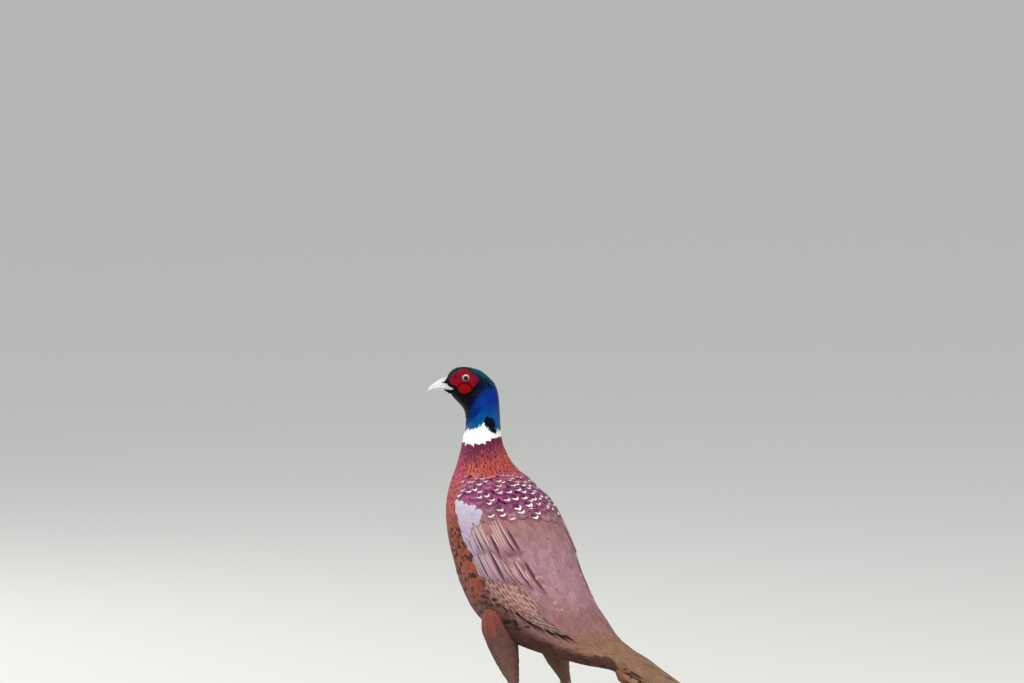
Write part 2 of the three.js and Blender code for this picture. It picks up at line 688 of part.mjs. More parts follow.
// FEET
// Each toe's turn from straight ahead, reach and radius, its claw's length, and how high it clears the floor
const TOES = [
  { name: 'middle', turn: 0, reach: 52, radius: 4.1, claw: 12, lift: 0, clawLift: 0 },
  { name: 'inner', turn: -27, reach: 36, radius: 3.7, claw: 12, lift: 0, clawLift: 0 },
  { name: 'outer', turn: 27, reach: 38, radius: 3.7, claw: 12, lift: 0, clawLift: 0 },
  { name: 'hind', turn: 172, reach: 15, radius: 3, claw: 8, lift: 2.2, clawLift: 1.6 },
];
const floorBox = (() => {
  const box = new THREE.BoxGeometry(400, 400, 60);
  box.translate(-60, 0, 30);
  return solidOf(box);
})();
function toe({ turn, reach, radius, lift }) {
  const ahead = vec(Math.cos(rad(turn)), Math.sin(rad(turn)), 0);
  const start = vec(FOOT_AT.x + 2, FOOT_AT.y, 0);
  const low = radius * 0.86;
  const path = [
    start.clone().setZ(FOOT_AT.z - 1.5),
    start.clone().addScaledVector(ahead, reach * 0.25).setZ(lerp(FOOT_AT.z - 2, low, 0.8) + lift),
    start.clone().addScaledVector(ahead, reach * 0.6).setZ(low + lift),
    start.clone().addScaledVector(ahead, reach).setZ(low + lift - 0.3),
  ];
  return {
    ahead,
    end: path.at(-1),
    solid: limb(path, (u) => {
      const pad = 0.45 * Math.cos(2 * Math.PI * (u * 3 + 0.1));
      const size = radius * lerp(1.08, 0.72, u) + pad;
      return [size, size];
    }, 6, 7),
  };
}
function claw(toeMade, radius, length, floor) {
  const { ahead, end } = toeMade;
  const tip = end.clone().addScaledVector(ahead, length).setZ(floor + 0.75);
  const middle = end.clone().lerp(tip, 0.5).setZ(end.z + 1.1);
  return limb([end.clone().addScaledVector(ahead, -2), middle, tip], (u) => [
    lerp(radius, 0.45, u ** 0.8),
    lerp(radius * 0.85, 0.4, u ** 0.8),
  ], 4, 6);
}
const PAD_AT = vec(FOOT_AT.x + 1, FOOT_AT.y, 5.2);
const PAD = [6.2, 7, 6.4];
const footPad = ball(PAD, PAD_AT, 0, 10);
const toesMade = TOES.map(toe);
const toeBulk = joined([footPad, ...toesMade.map((t) => t.solid)]).intersect(floorBox);
const shankPart = shank.subtract(ball(PAD.map((r) => r + GAP), PAD_AT, 0, 10));
const spurAt = HEEL.clone().lerp(FOOT_AT, 0.62);
const spur = limb(
  [
    spurAt.clone().add(vec(-1, -2, 0)),
    spurAt.clone().add(vec(-8, -3, 1)),
    spurAt.clone().add(vec(-14, -3.4, 5)),
  ],
  (u) => [lerp(3, 0.45, u ** 0.9), lerp(3, 0.45, u ** 0.9)],
  4,
  6,
);
const shankGrown = limb(
  [HEEL, HEEL.clone().lerp(FOOT_AT, 0.6), FOOT_AT],
  () => [4.95, 4],
  6,
  12,
);
const claws = TOES.map((t, i) => claw(toesMade[i], t.radius * 0.62, t.claw, t.clawLift));
const legParts = {
  thigh: [thigh.subtract(thighCut), copperFeather],
  shank: [shankPart.subtract(toeBulk), legScale],
  spur: [spur.subtract(shankGrown), darkClaw],
  foot: [toeBulk, legScale],
};
TOES.forEach((t, i) => {
  const { end, ahead } = toesMade[i];
  const toeEnd = [end.clone().addScaledVector(ahead, -6), end.clone().addScaledVector(ahead, GAP)];
  const grown = limb(toeEnd, () => [t.radius, t.radius], 1, 12);
  legParts['claw_' + t.name] = [claws[i].intersect(floorBox).subtract(grown), darkClaw];
});
for (const [name, [solid, material]] of Object.entries(legParts)) {
  place(name + '_left', solid, material);
  place(name + '_right', mirrored(solid), material);
}

// The origin is on the floor, under the middle of the whole bird's box
const box = new THREE.Box3().setFromObject(group);
const centre = box.getCenter(new THREE.Vector3());
group.position.set(-centre.x, -centre.y, -box.min.z);

export default group;
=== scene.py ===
import json
import math
from collections import namedtuple

import bpy
import numpy as np
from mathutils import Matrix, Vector
from mathutils.kdtree import KDTree


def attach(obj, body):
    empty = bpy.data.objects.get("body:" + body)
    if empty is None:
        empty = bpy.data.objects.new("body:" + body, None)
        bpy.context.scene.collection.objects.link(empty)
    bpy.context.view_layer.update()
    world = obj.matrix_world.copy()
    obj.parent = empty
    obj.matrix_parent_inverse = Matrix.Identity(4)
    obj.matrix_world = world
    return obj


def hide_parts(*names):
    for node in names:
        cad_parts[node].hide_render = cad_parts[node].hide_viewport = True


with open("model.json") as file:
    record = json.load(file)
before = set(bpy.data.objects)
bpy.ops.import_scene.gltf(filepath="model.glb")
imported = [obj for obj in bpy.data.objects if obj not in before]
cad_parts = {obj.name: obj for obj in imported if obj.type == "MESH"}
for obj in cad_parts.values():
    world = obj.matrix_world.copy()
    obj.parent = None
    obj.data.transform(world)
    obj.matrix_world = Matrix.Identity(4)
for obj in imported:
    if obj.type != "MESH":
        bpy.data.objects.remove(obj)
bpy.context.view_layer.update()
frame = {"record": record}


# CAMERA
# The bird is seen from behind its left shoulder, from a little above the level of its back, through a
# long lens. Its neck stands over the floor ahead of the pad of its left foot, whose place the record gives.
MM = 0.001
PAD_BEHIND_NECK = 96 * MM
NECK_X = frame["record"]["mounts"][0]["pos_m"][0] + PAD_BEHIND_NECK
HEADING = math.radians(57)
CAMERA_RISE = math.radians(5)
CAMERA_DISTANCE = 15.0
SCALE_AT_BIRD = 1.25 * MM
PHOTO_WIDTH, PHOTO_HEIGHT = 1024, 683
NECK_FOOT = Vector((NECK_X + 3 * MM, 0, 365 * MM))
NECK_FOOT_PIXEL = (482.5, 446)

scene = bpy.context.scene
scene.view_settings.view_transform = "Standard"
level_ahead = Vector((math.sin(HEADING), -math.cos(HEADING), 0))
to_right = Vector((-math.cos(HEADING), -math.sin(HEADING), 0))
sight = level_ahead * math.cos(CAMERA_RISE) - Vector((0, 0, math.sin(CAMERA_RISE)))
upward = to_right.cross(sight)
target = (
    NECK_FOOT
    + to_right * (PHOTO_WIDTH / 2 - NECK_FOOT_PIXEL[0]) * SCALE_AT_BIRD
    + upward * (NECK_FOOT_PIXEL[1] - PHOTO_HEIGHT / 2) * SCALE_AT_BIRD
)
camera_data = bpy.data.cameras.new("long_lens")
camera_data.sensor_width = 36
camera_data.lens = camera_data.sensor_width * CAMERA_DISTANCE / (PHOTO_WIDTH * SCALE_AT_BIRD)
camera_data.clip_end = 60
camera = bpy.data.objects.new("long_lens", camera_data)
camera.location = target - sight * CAMERA_DISTANCE
camera.rotation_euler = sight.to_track_quat("-Z", "Y").to_euler()
scene.collection.objects.link(camera)
scene.camera = camera


# FLOOR AND LIGHT
# A plain pale floor, and the even light of an overcast day: a bright sky and two wide soft lamps.
def linear(code):
    """An sRGB colour written as hex, as linear red, green and blue."""
    shares = [int(code[i : i + 2], 16) / 255 for i in (1, 3, 5)]
    return np.array([c / 12.92 if c <= 0.04045 else ((c + 0.055) / 1.055) ** 2.4 for c in shares])


def add(tree, kind, inputs=(), **settings):
    """Adds a node with its settings; inputs gives a value or another node's output for each socket."""
    node = tree.nodes.new(kind)
    for key, value in settings.items():
        setattr(node, key, value)
    for socket, value in dict(inputs).items():
        if isinstance(value, bpy.types.NodeSocket):
            tree.links.new(value, node.inputs[socket])
        else:
            node.inputs[socket].default_value = value
    return node


def new_material(name, sockets):
    """A material's node tree with its output, and its shader with the constant sockets set."""
    material = bpy.data.materials.new(name)
    material.use_nodes = True
    tree = material.node_tree
    tree.nodes.clear()
    shader = add(tree, "ShaderNodeBsdfPrincipled", sockets)
    add(tree, "ShaderNodeOutputMaterial", {0: shader.outputs[0]})
    return material, tree, shader


def rgba(code):
    return (*linear(code), 1.0)


def pale_floor():
    # Matt painted board, without grain
    material, tree, shader = new_material("matt_painted_board", {"Roughness": 0.85})
    grain = add(tree, "ShaderNodeTexNoise", {"Scale": 9.0, "Detail": 2.0})
    tint = add(
        tree,
        "ShaderNodeMix",
        {0: grain.outputs["Fac"], 6: rgba("#D6D5CF"), 7: rgba("#DEDDD8")},
        data_type="RGBA",
    )
    tree.links.new(tint.outputs[2], shader.inputs["Base Color"])
    return material


FLOOR_HALF = 40
floor_mesh = bpy.data.meshes.new("floor")
floor_corners = [(x * FLOOR_HALF, y * FLOOR_HALF, 0) for x, y in ((-1, -1), (1, -1), (1, 1), (-1, 1))]
floor_mesh.from_pydata(floor_corners, [], [(0, 1, 2, 3)])
floor_mesh.materials.append(pale_floor())
floor = bpy.data.objects.new("floor", floor_mesh)
scene.collection.objects.link(floor)

world = bpy.data.worlds.new("overcast_sky")
world.use_nodes = True
world.node_tree.nodes["Background"].inputs[0].default_value = rgba("#EEF1F4")
world.node_tree.nodes["Background"].inputs[1].default_value = 0.75
scene.world = world


def soft_lamp(name, place, size, power):
    data = bpy.data.lights.new(name, "AREA")
    data.size = size
    data.energy = power
    lamp = bpy.data.objects.new(name, data)
    lamp.location = place
    lamp.rotation_euler = (Vector((NECK_X, 0, 0.3)) - Vector(place)).to_track_quat("-Z", "Y").to_euler()
    scene.collection.objects.link(lamp)


soft_lamp("high_left_lamp", (-1.2, 2.0, 2.4), 1.6, 55)
soft_lamp("right_rear_lamp", (-1.8, -1.4, 1.8), 1.8, 22)
soft_lamp("front_lamp", (2.2, 0.8, 1.6), 1.8, 25)


# SKIN
# Head, neck and body are one form under the feathers. Each station has the point on the back, the point
# on the front or belly, and half of the width, in millimetres from the neck's foot on the floor. The last
# four lie round the tail's root, for the feathers that cover it.
STATIONS = np.array([
    [46.5, 449.5, 46, 437.5, 6],
    [44.2, 454.5, 44, 433.5, 9],
    [39.5, 460, 40.8, 430.8, 11.5],
    [33, 463.4, 37, 425.6, 13.8],
    [24, 464.2, 32.2, 420.8, 15.6],
    [13.5, 462.6, 28, 416.2, 16.8],
    [3, 458.8, 24.8, 411.6, 17.5],
    [-6.4, 451, 23, 406.4, 18.1],
    [-13.2, 443.2, 22.4, 400.6, 18.7],
    [-16.9, 434.5, 22.2, 394.8, 19.3],
    [-18.7, 423, 22.4, 389.6, 20.1],
    [-19.5, 409, 23.2, 385.2, 20.8],
    [-20, 395.5, 25.2, 381.5, 21.6],
    [-20.6, 381, 28.4, 375, 23],
    [-24, 365, 30, 360, 25.8],
    [-42, 343, 36, 337, 34.4],
    [-78, 322, 42.6, 309, 49.4],
    [-110, 301.5, 46, 277, 57],
    [-139, 275.5, 40.5, 243, 58.4],
    [-164.5, 248, 28.5, 209, 56],
    [-187, 220.5, 12, 178.5, 52.8],
    [-210, 199, -15, 154.5, 49.2],
    [-231, 181, -51, 137.5, 45.2],
    [-252, 167, -95, 128, 42],
    [-270, 156.5, -142, 122, 37],
    [-287, 149, -195, 118, 33],
    [-302, 143.5, -252, 115.5, 29],
    [-316, 138.5, -303, 115, 25],
    [-338, 133, -344, 109, 24],
    [-372, 123.5, -380, 99, 21],
    [-420, 111, -426, 88, 16],
    [-470, 98, -474, 79, 10],
])
BODY_END = 27
LAST_STATION = len(STATIONS) - 1
HEAD_TURN = HEADING
TWIST_TOP, TWIST_FOOT = 7.5, 12.5


def smooth(x, low, high):
    t = np.clip((x - low) / (high - low), 0, 1)
    return t * t * (3 - 2 * t)


def mix(a, b, share):
    return a + (b - a) * share


def unit(vectors):
    return vectors / np.linalg.norm(vectors, axis=-1, keepdims=True)


def spline(column, s):
    """A column's value between its rows, on a Catmull-Rom curve that runs straight on past its ends."""
    last = len(column) - 1
    held = np.clip(s, 0, last)
    i = np.minimum(np.floor(held).astype(int), last - 1)
    w = held - i
    knots = np.concatenate([[2 * column[0] - column[1]], column, [2 * column[-1] - column[-2]]])
    a, b, c, d = knots[i], knots[i + 1], knots[i + 2], knots[i + 3]
    rise0, rise1 = (c - a) / 2, (d - b) / 2
    value = b + rise0 * w + (3 * (c - b) - 2 * rise0 - rise1) * w**2 + (2 * (b - c) + rise0 + rise1) * w**3
    past = s - held
    slope = np.where(past > 0, column[-1] - column[-2], column[1] - column[0])
    return value + past * slope


def in_mid_plane(s, theta):
    """How far ahead and up a place of the form is, before the head's turn."""
    back_x, back_z, front_x, front_z = [spline(STATIONS[:, k], s) for k in range(4)]
    x = (back_x + front_x) / 2 + (back_x - front_x) / 2 * np.cos(theta)
    z = (back_z + front_z) / 2 + (back_z - front_z) / 2 * np.cos(theta)
    return x, z


def out_to_left(s, theta):
    """How far a place of the form is from the mid plane."""
    return spline(STATIONS[:, 4], s) * np.sin(theta)


def body(s, theta):
    """The form's surface: theta is 0 on the back, a quarter turn on the bird's left and half on the belly."""
    x, z = in_mid_plane(s, theta)
    y = out_to_left(s, theta)
    turn = HEAD_TURN * (1 - smooth(s, TWIST_TOP, TWIST_FOOT))
    return np.stack([x * np.cos(turn) - y * np.sin(turn), x * np.sin(turn) + y * np.cos(turn), z], -1)


def frame_at(surface, s, t):
    """Point, direction along s, outward normal, and millimetres for each step of s and t."""
    step = 0.01
    along = surface(s + step, t) - surface(s - step, t)
    around = surface(s, t + step) - surface(s, t - step)
    normal = unit(np.cross(around, along))
    speed = np.linalg.norm(along, axis=-1) / (2 * step)
    turn = np.linalg.norm(around, axis=-1) / (2 * step)
    return surface(s, t), unit(along), normal, speed, turn


def raised(surface, s, t, height):
    point, _, normal, _, _ = frame_at(surface, s, t)
    return point + normal * np.asarray(height)[..., None]


def grid_faces(rows, columns, wrap=False, ring=False, flip=False):
    """Quads over a grid of points. The last column joins the first if it wraps, the last row in a ring."""
    spans = np.arange(rows if ring else rows - 1), np.arange(columns if wrap else columns - 1)
    i, j = np.meshgrid(*spans, indexing="ij")
    right = (j + 1) % columns
    after = (i + 1) % rows
    quads = np.stack([i * columns + j, i * columns + right, after * columns + right, after * columns + j], -1)
    quads = quads.reshape(-1, 4)
    return quads[:, ::-1] if flip else quads


def make_object(name, vertices, faces, material, mirror=False):
    """A mesh object from points in millimetres from the neck's foot, and faces of any number of corners."""
    points = np.array(vertices, float).reshape(-1, 3) * MM
    if mirror:
        points = points * (1, -1, 1)
    points[:, 0] += NECK_X
    faces = [np.asarray(f)[..., ::-1] if mirror else np.asarray(f) for f in faces]
    counts = np.concatenate([np.full(len(f), f.shape[1]) for f in faces])
    corners = np.concatenate([f.reshape(-1) for f in faces])
    mesh = bpy.data.meshes.new(name)
    mesh.vertices.add(len(points))
    mesh.vertices.foreach_set("co", points.reshape(-1))
    mesh.loops.add(len(corners))
    mesh.loops.foreach_set("vertex_index", corners.astype(np.int32))
    mesh.polygons.add(len(counts))
    mesh.polygons.foreach_set("loop_start", np.concatenate([[0], np.cumsum(counts)[:-1]]).astype(np.int32))
    mesh.update(calc_edges=True)
    mesh.validate()
    mesh.polygons.foreach_set("use_smooth", np.ones(len(counts), bool))
    mesh.materials.append(material)
    piece = bpy.data.objects.new(name, mesh)
    scene.collection.objects.link(piece)
    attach(piece, "root")
    return piece


def give_uv(mesh, name, points):
    """A UV map from one pair for each vertex."""
    layer = mesh.uv_layers.new(name=name)
    corners = np.empty(len(mesh.loops), np.int32)
    mesh.loops.foreach_get("vertex_index", corners)
    layer.uv.foreach_set("vector", np.asarray(points, np.float32)[corners].reshape(-1))


def give_colour(mesh, name, colours):
    """A colour for each vertex. A fourth column, where there is one, is the strength of a feather's marks."""
    layer = mesh.color_attributes.new(name, "FLOAT_COLOR", "POINT")
    if colours.shape[1] == 3:
        colours = np.concatenate([colours, np.ones((len(colours), 1))], 1)
    layer.data.foreach_set("color", colours.astype(np.float32).reshape(-1))


def coat_depth(s):
    """How far the skin lies under the tips of the feathers."""
    return 0.7 + 1.1 * smooth(s, 2, 8) + 3.2 * smooth(s, 11, 17)


# Colours of the plumage, from the crown to the vent
CROWN = linear("#061D25")
# The crown's own teal gloss, lighter as painted sheen where it catches the light
CROWN_TEAL_SHEEN = linear("#0C5166")
FACE_BLACK = linear("#050609")
CHEEK = linear("#050820")
THROAT = linear("#03060C")
NECK_BLUE = linear("#002F82")
NECK_VIOLET = linear("#082480")
NECK_TEAL = linear("#005A92")
NAPE_BREAK = linear("#0A0A1C")
COLLAR_WHITE = linear("#F4F4F2")
COLLAR_SHADE = linear("#6A1E4A")
MANTLE = linear("#B64E46")
MANTLE_BRIGHT = linear("#CC6842")
BREAST_MAROON = linear("#A02E48")
BREAST_COPPER = linear("#B45248")
SCAPULAR = linear("#92466F")
SCAPULAR_PALE = linear("#9C5679")
FLANK = linear("#8C4430")
BACK_BROWN = linear("#986C6A")
BACK_MAUVE = linear("#A0787E")
RUMP = linear("#8A5E5A")
TAIL_COVERT = linear("#80603F")
BELLY = linear("#2A1A18")
VENT = linear("#4B2D20")
# The collar's upper and lower edge: the angle round the neck from the nape, with the station there
COLLAR_UPPER = np.array([
    [-180, 12.0], [-100, 12.3], [-40, 12.7], [-17, 12.7], [-10, 13.05], [7, 12.73], [21, 12.4], [34, 12.03],
    [46, 12.28], [71, 12.31], [102, 12.16], [180, 12.0],
])
COLLAR_LOWER = np.array([
    [-180, 13.0], [-100, 13.15], [-39, 13.3], [-3, 13.4], [4, 13.6], [42, 13.88], [71, 13.98], [94, 13.75],
    [124, 13.3], [180, 13.0],
])
# Where the black of the throat begins, in degrees from the nape, at each station
THROAT_EDGE = np.array([[5, 112], [7, 134], [8.5, 138], [9.9, 144], [10.6, 176]])
# The dark break in the blue of the nape: its middle and half its width, in degrees, at each station
BREAK_MIDDLE = np.array([[11.4, 28], [11.6, 22], [12.05, 12], [12.65, -5], [13.1, -12]])
BREAK_HALF = np.array([[11.3, 9], [11.6, 25], [12.05, 20], [12.65, 11], [13.1, 5]])


def on_line(line, s):
    return np.interp(s, line[:, 0], line[:, 1])


def collar_edges(theta):
    """Stations of the upper and lower edge of the white collar, with its break on the nape."""
    around = np.degrees(theta)
    return on_line(COLLAR_UPPER, around), on_line(COLLAR_LOWER, around)


def blend(x, low, high):
    """A share of a colour, from none at low to all at high."""
    return smooth(x, low, high)[..., None]


def head_and_neck_colour(s, theta):
    around = np.degrees(theta)
    turned = np.abs(around)
    cheek = mix(CHEEK, NECK_BLUE, blend(s, 6.6, 8.0))
    # A teal band over the top of the crown: partly its own iridescent teal, partly painted sheen where the
    # gloss catches the light
    teal_sheen = blend(s, 4.4, 5.4) * (1 - blend(s, 6.4, 7.4)) * (1 - blend(turned, 20, 44))
    head = mix(mix(CROWN, CROWN_TEAL_SHEEN, teal_sheen), cheek, blend(turned, 44, 62))
    head = mix(head, FACE_BLACK, 1 - blend(s, 1.2, 3.4))
    past_throat_edge = turned - on_line(THROAT_EDGE, s)
    head = mix(head, THROAT, blend(past_throat_edge, -10, 10))
    blue = mix(NECK_BLUE, NECK_VIOLET, blend(turned, 60, 20) * 0.6)
    blue = mix(blue, NECK_TEAL, blend(s, 9.8, 12.2))
    neck = mix(blue, THROAT, blend(past_throat_edge, -7, 12))
    colour = mix(head, neck, blend(s + 0.6 * np.cos(theta), 7.2, 8.8))
    ragged_half = on_line(BREAK_HALF, s) + 3 * np.sin(7 * theta + 9 * s)
    in_break = 1 - blend(np.abs(around - on_line(BREAK_MIDDLE, s)) / ragged_half, 0.85, 1.1)
    return mix(colour, NAPE_BREAK, in_break * blend(s, 11.2, 11.4))


def body_colour(s, theta):
    around = np.degrees(theta)
    turned = np.abs(around)
    bright = blend(s, 14.1, 15.0) * (1 - blend(s, 15.1, 15.7)) * (0.1 + 0.65 * blend(turned, 36, 56))
    mantle = mix(MANTLE, MANTLE_BRIGHT, bright)
    breast = mix(BREAST_MAROON, BREAST_COPPER, blend(s, 15, 17.5))
    colour = mix(mantle, breast, blend(turned, 62, 88))
    colour = mix(colour, FLANK, blend(s, 16.6, 17.6) * blend(turned, 80, 92) * (1 - blend(turned, 138, 160)))
    scapulars = blend(s + 0.1 * np.sin(9 * theta), 15.3, 16.0) * (1 - blend(s, 18, 18.8))
    violet = mix(SCAPULAR_PALE, SCAPULAR, blend(s + 0.5 * smooth(around, -30, 10), 16.2, 17.0))
    colour = mix(colour, violet, scapulars * (1 - blend(turned + 14 * smooth(s, 17, 17.8), 76, 90)))
    back = mix(mix(BACK_BROWN, BACK_MAUVE, blend(s, 18, 19.4)), RUMP, blend(s, 20.5, 23))
    back = mix(back, TAIL_COVERT, blend(s, 23.2, 25.5))
    on_back = 1 - blend(turned - 14 * smooth(s, 18.5, 20.5), 70, 84)
    colour = mix(colour, back, blend(s + 0.85 * smooth(turned, 38, 74), 17.3, 17.9) * on_back)
    colour = mix(colour, BELLY, blend(turned, 118, 150) * blend(s, 17.5, 20))
    return mix(colour, VENT, blend(s, 19.8, 22.2) * blend(turned, 76, 94))


def plumage_colour(s, theta):
    """The local colour of the plumage, for the skin and for the feathers that cover it. One colour gives way
    to the next between two stations, or between two angles from the middle of the back."""
    colour = mix(head_and_neck_colour(s, theta), body_colour(s, theta), blend(s, 13.1, 13.3))
    upper, lower = collar_edges(theta)
    white = (smooth(s, upper - 0.06, upper + 0.06) * (1 - smooth(s, lower - 0.05, lower + 0.05)))[..., None]
    line = (smooth(s, lower - 0.02, lower + 0.05) * (1 - smooth(s, lower + 0.2, lower + 1.4)))[..., None]
    colour = mix(colour, COLLAR_SHADE, line * 0.9)
    return mix(colour, COLLAR_WHITE, white)


Vane = namedtuple("Vane", "side out reach strength")
BARB_SLANT = -0.35
BARB_RIPPLES = 130.0


def give_colour_to(tree, shader, colour, shade):
    """The shader's colour is a tone that a fine pattern darkens or lightens."""
    tint = add(tree, "ShaderNodeMix", {0: 1.0, 6: colour, 7: shade}, data_type="RGBA", blend_type="MULTIPLY")
    tree.links.new(tint.outputs[2], shader.inputs["Base Color"])


def feather_finish(name, marks=None, roughness=0.55, metallic=0.0, root=0.75, barb=1.0):
    """Keratin barbs held flat in a vane: soft gloss along fine slanting ripples, colour from the Tone
    attribute, and darker towards the root, where other feathers shade it. marks adds the feather's own
    pattern from its vane map. The ripples are drawn coarser than real barbs, so that they show."""
    sockets = {"Roughness": roughness, "Metallic": metallic, "Specular IOR Level": 0.12}
    material, tree, shader = new_material(name, sockets)
    tone = add(tree, "ShaderNodeAttribute", attribute_name="Tone")
    chart = add(tree, "ShaderNodeUVMap", uv_map="Vane")
    place = add(tree, "ShaderNodeSeparateXYZ", {0: chart.outputs[0]})
    across = add(tree, "ShaderNodeMath", {0: place.outputs[0], 1: 0.5}, operation="SUBTRACT")
    side = add(tree, "ShaderNodeMath", {0: across.outputs[0], 1: 2.0}, operation="MULTIPLY").outputs[0]
    out = add(tree, "ShaderNodeMath", {0: side}, operation="ABSOLUTE").outputs[0]
    vane = Vane(side, out, place.outputs[1], tone.outputs["Alpha"])
    colour = tone.outputs["Color"]
    if marks:
        colour = marks(tree, colour, vane)
    slant = add(tree, "ShaderNodeMath", {0: out, 1: BARB_SLANT, 2: vane.reach}, operation="MULTIPLY_ADD")
    ripple = add(tree, "ShaderNodeMath", {0: slant.outputs[0], 1: BARB_RIPPLES}, operation="MULTIPLY")
    barbs = add(tree, "ShaderNodeMath", {0: ripple.outputs[0]}, operation="SINE").outputs[0]
    light_range = {0: barbs, 1: -1.0, 2: 1.0, 3: 1.0 - 0.1 * barb, 4: 1.0 + 0.06 * barb}
    shade = add(tree, "ShaderNodeMapRange", light_range)
    under = add(tree, "ShaderNodeMapRange", {0: vane.reach, 1: 0.0, 2: 0.5, 3: root, 4: 1.0})
    depth = add(tree, "ShaderNodeMath", {0: shade.outputs[0], 1: under.outputs[0]}, operation="MULTIPLY")
    give_colour_to(tree, shader, colour, depth.outputs[0])
    bump = add(tree, "ShaderNodeBump", {"Strength": 0.25, "Distance": 0.0002, "Height": barbs})
    tree.links.new(bump.outputs[0], shader.inputs["Normal"])
    return material


# The middle line of the left thigh, in mm, from inside the body down to the heel
THIGH_LINE = np.array([[-84, 30, 178], [-94, 35, 142], [-112, 37, 108], [-126, 38, 86]], float)


def thigh(u, a):
    """The feathered thigh, from inside the body at u = 0 to the heel at 1. a goes round it from the front."""
    spans = len(THIGH_LINE) - 1
    held = np.clip(u, 0, 1)
    centre = np.stack([spline(THIGH_LINE[:, k], held * spans) for k in range(3)], -1)
    centre = centre + (u - held)[..., None] * (THIGH_LINE[-1] - THIGH_LINE[-2]) * spans
    down = unit(THIGH_LINE[-1] - THIGH_LINE[0])
    ahead = unit(np.cross(np.cross(down, (1, 0, 0)), down))
    outward = np.cross(down, ahead)
    outward = outward * np.sign(outward[1])
    grow = np.clip(u, 0, 1.1)
    deep = mix(40.0, 6.6, grow**0.8) * mix(0.84, 1.0, smooth(u, -0.05, 0.25))
    wide = mix(25.0, 5.6, grow**0.85) * mix(0.66, 1.0, smooth(u, -0.05, 0.3))
    return centre + ahead * (deep * np.cos(a))[..., None] - outward * (wide * np.sin(a))[..., None]


def with_ends(grid):
    """A grid's points or colours, then the middle of its first row and that of its last."""
    return np.concatenate([grid.reshape(-1, 3), grid[0].mean(0)[None], grid[-1].mean(0)[None]])


def tube_with_ends(points):
    """A grid that wraps round, closed by a fan at each end: vertices and faces."""
    rows, columns = points.shape[:2]
    j = np.arange(columns)
    after = (j + 1) % columns
    first = rows * columns
    last = (rows - 1) * columns
    fans = np.concatenate([
        np.stack([np.full(columns, first), after, j], -1),
        np.stack([np.full(columns, first + 1), last + j, last + after], -1),
    ])
    return with_ends(points), [grid_faces(rows, columns, wrap=True), fans]


ARC = np.concatenate([[0], np.cumsum(np.linalg.norm(np.diff(STATIONS[:, :2], axis=0), axis=1))])


def skin_chart(s, theta):
    """The skin unwrapped, with the belly's middle line as its seam and a narrow margin round it."""
    along = np.interp(s, np.arange(len(ARC)), ARC) / ARC[-1]
    around = (theta + math.pi) / (2 * math.pi) % 1.0
    return np.stack([0.01 + 0.98 * around, 0.01 + 0.98 * along], -1)


def thigh_chart(u, a):
    """The thigh's skin unwrapped, with its seam behind."""
    return np.stack([0.05 + 0.9 * (a + math.pi) / (2 * math.pi), 0.02 + 0.96 * u], -1)


def skin_grid(start, end, rows, columns):
    """Places along a form and all round it."""
    along = np.linspace(start, end, rows)[:, None]
    around = np.linspace(-math.pi, math.pi, columns)[None, :-1]
    return np.broadcast_arrays(along, around)


# The skin is darker than the feathers over it, because they shade it
SKIN_TONE = 0.55
THIGH_SKIN = linear("#4A2A20")


def skin_piece():
    material = feather_finish("down_over_skin", roughness=0.9, barb=0.0)
    s, theta = skin_grid(0.02, BODY_END, 190, 113)
    vertices, faces = tube_with_ends(raised(body, s, theta, -coat_depth(s)))
    colours = [plumage_colour(s, theta).reshape(-1, 3), FACE_BLACK[None], VENT[None]]
    chart = [skin_chart(s, theta).reshape(-1, 2), np.array([[0.5, 0.01], [0.5, 0.9]])]
    u, a = skin_grid(0, 1.03, 40, 41)
    for side in (1, -1):
        points, more = tube_with_ends(raised(thigh, u, a, np.full(u.shape, -1.0)) * (1, side, 1))
        faces += [(part if side > 0 else part[:, ::-1]) + len(vertices) for part in more]
        vertices = np.concatenate([vertices, points])
        colours.append(np.broadcast_to(THIGH_SKIN, (len(points), 3)))
        chart += [thigh_chart(u, a).reshape(-1, 2), np.array([[0.5, 0.02], [0.5, 0.98]])]
    piece = make_object("skin", vertices, faces, material)
    give_colour(piece.data, "Tone", np.concatenate(colours) * SKIN_TONE)
    give_uv(piece.data, "OFBake", np.concatenate(chart))
    give_uv(piece.data, "Vane", np.full((len(vertices), 2), 0.5))
    return piece


skin = skin_piece()
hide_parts("head", "neck", "collar", "torso", "thigh_left", "thigh_right")


# WING FORM
# The folded wing lies on the flank as a smooth swelling, with its bend on the shoulder. The feathers of the
# wing, the shoulder and the back lie on it, so its height over the body belongs to the surface they follow.
WING_TOP = np.array([[16.1, 68], [16.4, 60], [17.2, 46], [18.2, 38], [19.5, 33], [22.5, 28], [24.6, 36]])
WING_FOOT = np.array([[16.1, 91], [17, 90], [19.5, 88], [21, 84], [23, 74], [24.6, 62]])
WING_THICK = np.array([
    [16.0, 0], [16.35, 4.5], [16.8, 7.6], [17.6, 9], [19, 8.2], [21, 6.8], [23, 4.5], [24.7, 1.2],
])


def wing_height(s, theta):
    turned = np.abs(np.degrees(theta))
    share = (turned - on_line(WING_TOP, s)) / (on_line(WING_FOOT, s) - on_line(WING_TOP, s))
    crown = np.sin(math.pi * (0.04 + 0.92 * np.clip(share, 0, 1) ** 1.25)) ** 0.7
    within = smooth(share, -0.3, 0.12) * (1 - smooth(share, 0.95, 1.12))
    return on_line(WING_THICK, s) * np.where((s > 16) & (s < 24.8), crown * within, 0)


def plumage(s, theta):
    """The body's surface with the folded wings on it."""
    return raised(body, s, theta, wing_height(s, theta))


